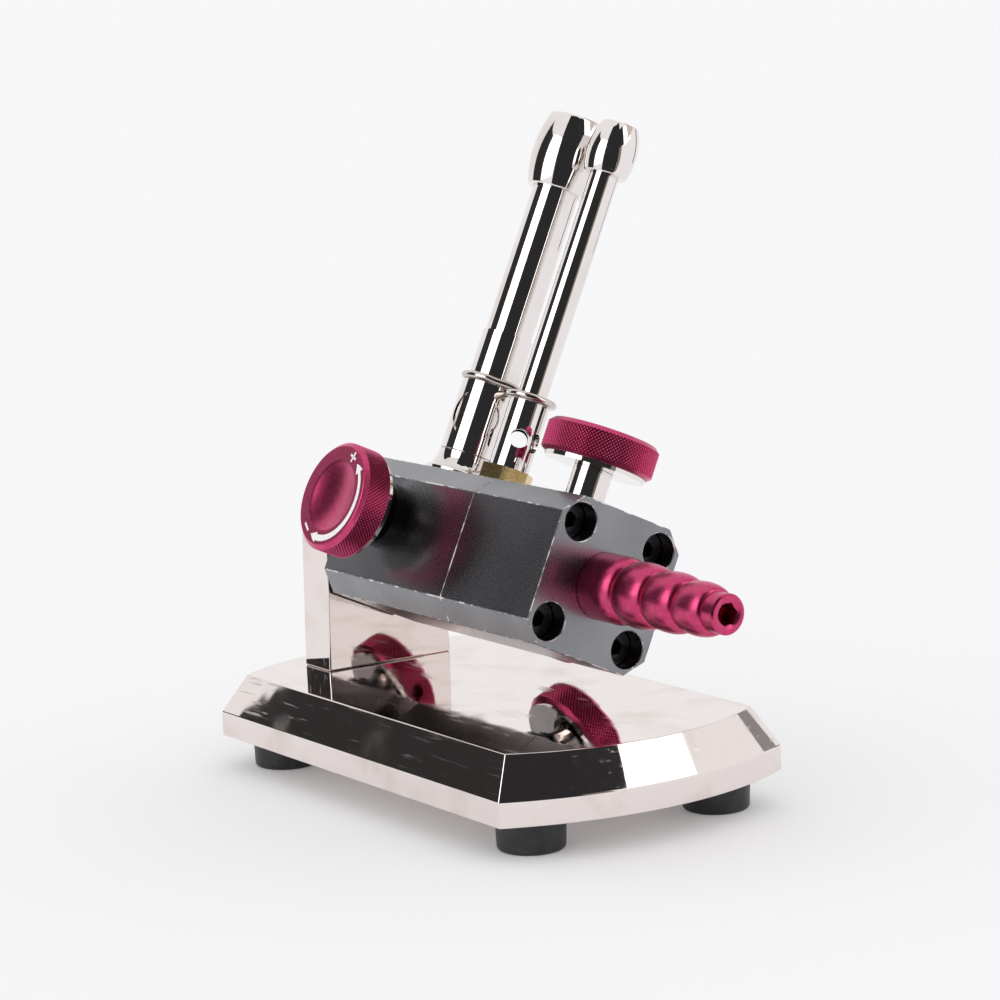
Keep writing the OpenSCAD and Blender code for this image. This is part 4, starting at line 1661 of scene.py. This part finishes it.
@dataclass(frozen=True)
class SoftLight:
    """A square studio light, placed by its bearing from +X and its height above the horizon."""

    name: str
    bearing: float
    height: float
    distance: float
    width: float
    tall: float
    level: float

    def build(self, target: Vector, spared: bpy.types.Collection) -> None:
        """Adds the light, aimed at a point.

        Args:
            target: The point that it shines at.
            spared: What the light leaves alone.
        """
        lamp = bpy.data.lights.new(self.name, "AREA")
        lamp.shape = "RECTANGLE"
        lamp.size, lamp.size_y = self.width, self.tall
        lamp.energy = self.level * math.pi * self.width * self.tall
        made = linked(self.name, lamp)
        away = outward(self.bearing, self.height)
        made.location = target + away * self.distance
        made.rotation_euler = (-away).to_track_quat("-Z", "Y").to_euler()
        made.visible_camera = False
        made.light_linking.receiver_collection = spared


@dataclass(frozen=True)
class StudioPanel:
    """A curved studio panel that only polished metal sees, as the room beyond the lights."""

    name: str
    bearings: tuple[float, float]
    heights: tuple[float, float]
    distance: float
    glow: Colour
    across: int = 24
    up: int = 12

    def build(self, target: Vector, ground: float) -> None:
        """Adds the panel round a point; where it meets the floor it runs inwards along it.

        Args:
            target: The point that it curves round.
            ground: Height that it never goes below, in metres.
        """
        bm = bmesh.new()
        rows = []
        for height in steps_between(*self.heights, self.up):
            row = []
            for bearing in steps_between(*self.bearings, self.across):
                out = outward(bearing, height)
                reach = self.distance if out.z >= 0 else min(self.distance, (ground - target.z) / out.z)
                row.append(bm.verts.new(out * reach / MM))
            rows.append(row)
        for low, high in zip(rows, rows[1:]):
            for i in range(self.across):
                bm.faces.new((low[i], low[i + 1], high[i + 1], high[i]))
        axes = Axes(target, ALONG_BAR, UP)
        made = add_object(self.name, bm, axes, [PanelGlow(self.name, self.glow).material()])
        for flag in ("visible_camera", "visible_diffuse", "visible_shadow", "visible_transmission"):
            setattr(made, flag, False)
        made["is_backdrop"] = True


@dataclass
class Studio:
    """The floor, the surround, the lights and the camera."""

    floor_radius: float = 40.0
    floor_sides: int = 96
    surround: Colour = (0.945, 0.945, 0.955)
    bearing: float = 55.98
    elevation: float = 9.298
    roll: float = -2.164
    distance: float = 0.67429
    lens: float = 120.93
    aim_ahead: float = 52.811
    aim_aside: float = 0.895
    aim_above: float = 12.655
    lights: tuple[SoftLight, ...] = (
        SoftLight("left_softbox", -88.0, 30.0, 1.1, 0.80, 0.80, 1.5),
        SoftLight("right_softbox", 35.0, 36.0, 1.2, 0.62, 0.7, 1.25),
    )
    panels: tuple[StudioPanel, ...] = (
        StudioPanel("room_behind_camera", (-64.0, 2.0), (-15.0, 76.0), 0.62, (0.028, 0.028, 0.03)),
        StudioPanel("room_beside_camera", (2.0, 20.0), (25.0, 60.0), 0.62, (0.03, 0.03, 0.032)),
        StudioPanel("room_edge", (2.0, 12.0), (-12.0, 25.0), 0.62, (0.24, 0.20, 0.165)),
        StudioPanel("room_at_left", (-152.0, -111.0), (-3.0, 50.0), 0.62, (0.033, 0.032, 0.033)),
        StudioPanel("warm_wall", (38.0, 84.0), (27.0, 60.0), 0.62, (0.66, 0.575, 0.52)),
        StudioPanel("backdrop_edge", (84.0, 92.0), (-8.0, 24.0), 0.62, (0.30, 0.29, 0.29)),
    )

    def build_floor(self) -> bpy.types.Collection:
        """Builds the floor under the feet.

        Returns:
            A collection that keeps the studio lights off the floor.
        """
        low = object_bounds()[0]
        bm = bmesh.new()
        reach = self.floor_radius / MM
        bm.faces.new([bm.verts.new(about(reach, a)) for a in once_round(self.floor_sides)])
        axes = Axes(Vector((0, 0, low.z)), ALONG_BAR, UP)
        floor = add_object("studio_floor", bm, axes, [Floor().material()])
        floor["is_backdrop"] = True
        spared = bpy.data.collections.new("floor_without_lamps")
        spared.objects.link(floor)
        for held in spared.collection_objects:
            held.light_linking.link_state = "EXCLUDE"
        return spared

    def build_surround(self) -> None:
        """Sets the even pale surround and a neutral view."""
        world = bpy.data.worlds.new("pale_surround")
        world.use_nodes = True
        glow = next(n for n in world.node_tree.nodes if n.type == "BACKGROUND")
        glow.inputs["Color"].default_value = (*self.surround, 1.0)
        glow.inputs["Strength"].default_value = 1.0
        scene = bpy.context.scene
        scene.world = world
        scene.view_settings.view_transform = "Standard"

    def build_camera(self) -> Vector:
        """Adds the camera at the object's three-quarter view.

        Returns:
            The point that the camera looks at.
        """
        aim = Vector((self.aim_ahead, self.aim_aside, self.aim_above)) * MM
        target = Station.TILT.axes().origin + aim
        back = outward(self.bearing - 90.0, self.elevation)
        right = (-back).cross(UP).normalized()
        right = Matrix.Rotation(math.radians(self.roll), 3, back) @ right
        camera = linked("view_camera", bpy.data.cameras.new("view_camera"))
        camera.data.lens = self.lens
        camera.data.sensor_width = 36.0
        camera.data.clip_start, camera.data.clip_end = 0.01, 200.0
        camera.matrix_world = Axes(target + back * self.distance, right, back).matrix()
        bpy.context.scene.camera = camera
        return target

    def build(self) -> None:
        """Builds the whole studio."""
        spared = self.build_floor()
        self.build_surround()
        target = self.build_camera()
        for light in self.lights:
            light.build(target, spared)
        for panel in self.panels:
            panel.build(target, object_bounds()[0].z + 2 * MM)
        LOG.info("studio: %d lights, %d panels", len(self.lights), len(self.panels))


def main() -> None:
    """Builds every sub-assembly and the studio."""
    logging.basicConfig(level=logging.INFO, format="%(name)s: %(message)s")
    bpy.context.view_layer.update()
    finishes = Finishes()
    bar = ValveBar(finishes)
    assemblies: list[tuple[str, Callable[[], None]]] = [
        ("stand", Stand(finishes).build),
        ("pivot", Pivot(finishes).build),
        ("valve bar", bar.build),
        ("hose barb", HoseBarb(finishes, bar).build),
        *[(f"{side.label} valve", Valve(finishes, side).build) for side in ValveSide],
        ("main burner", MainBurner(finishes, bar).build),
        ("pilot burner", PilotBurner(finishes).build),
        ("wire clip", WireClip(finishes).build),
        ("studio", Studio().build),
    ]
    for name, build in assemblies:
        build()
        LOG.info("finished the %s", name)
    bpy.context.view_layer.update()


if __name__ == "__main__":
    main()
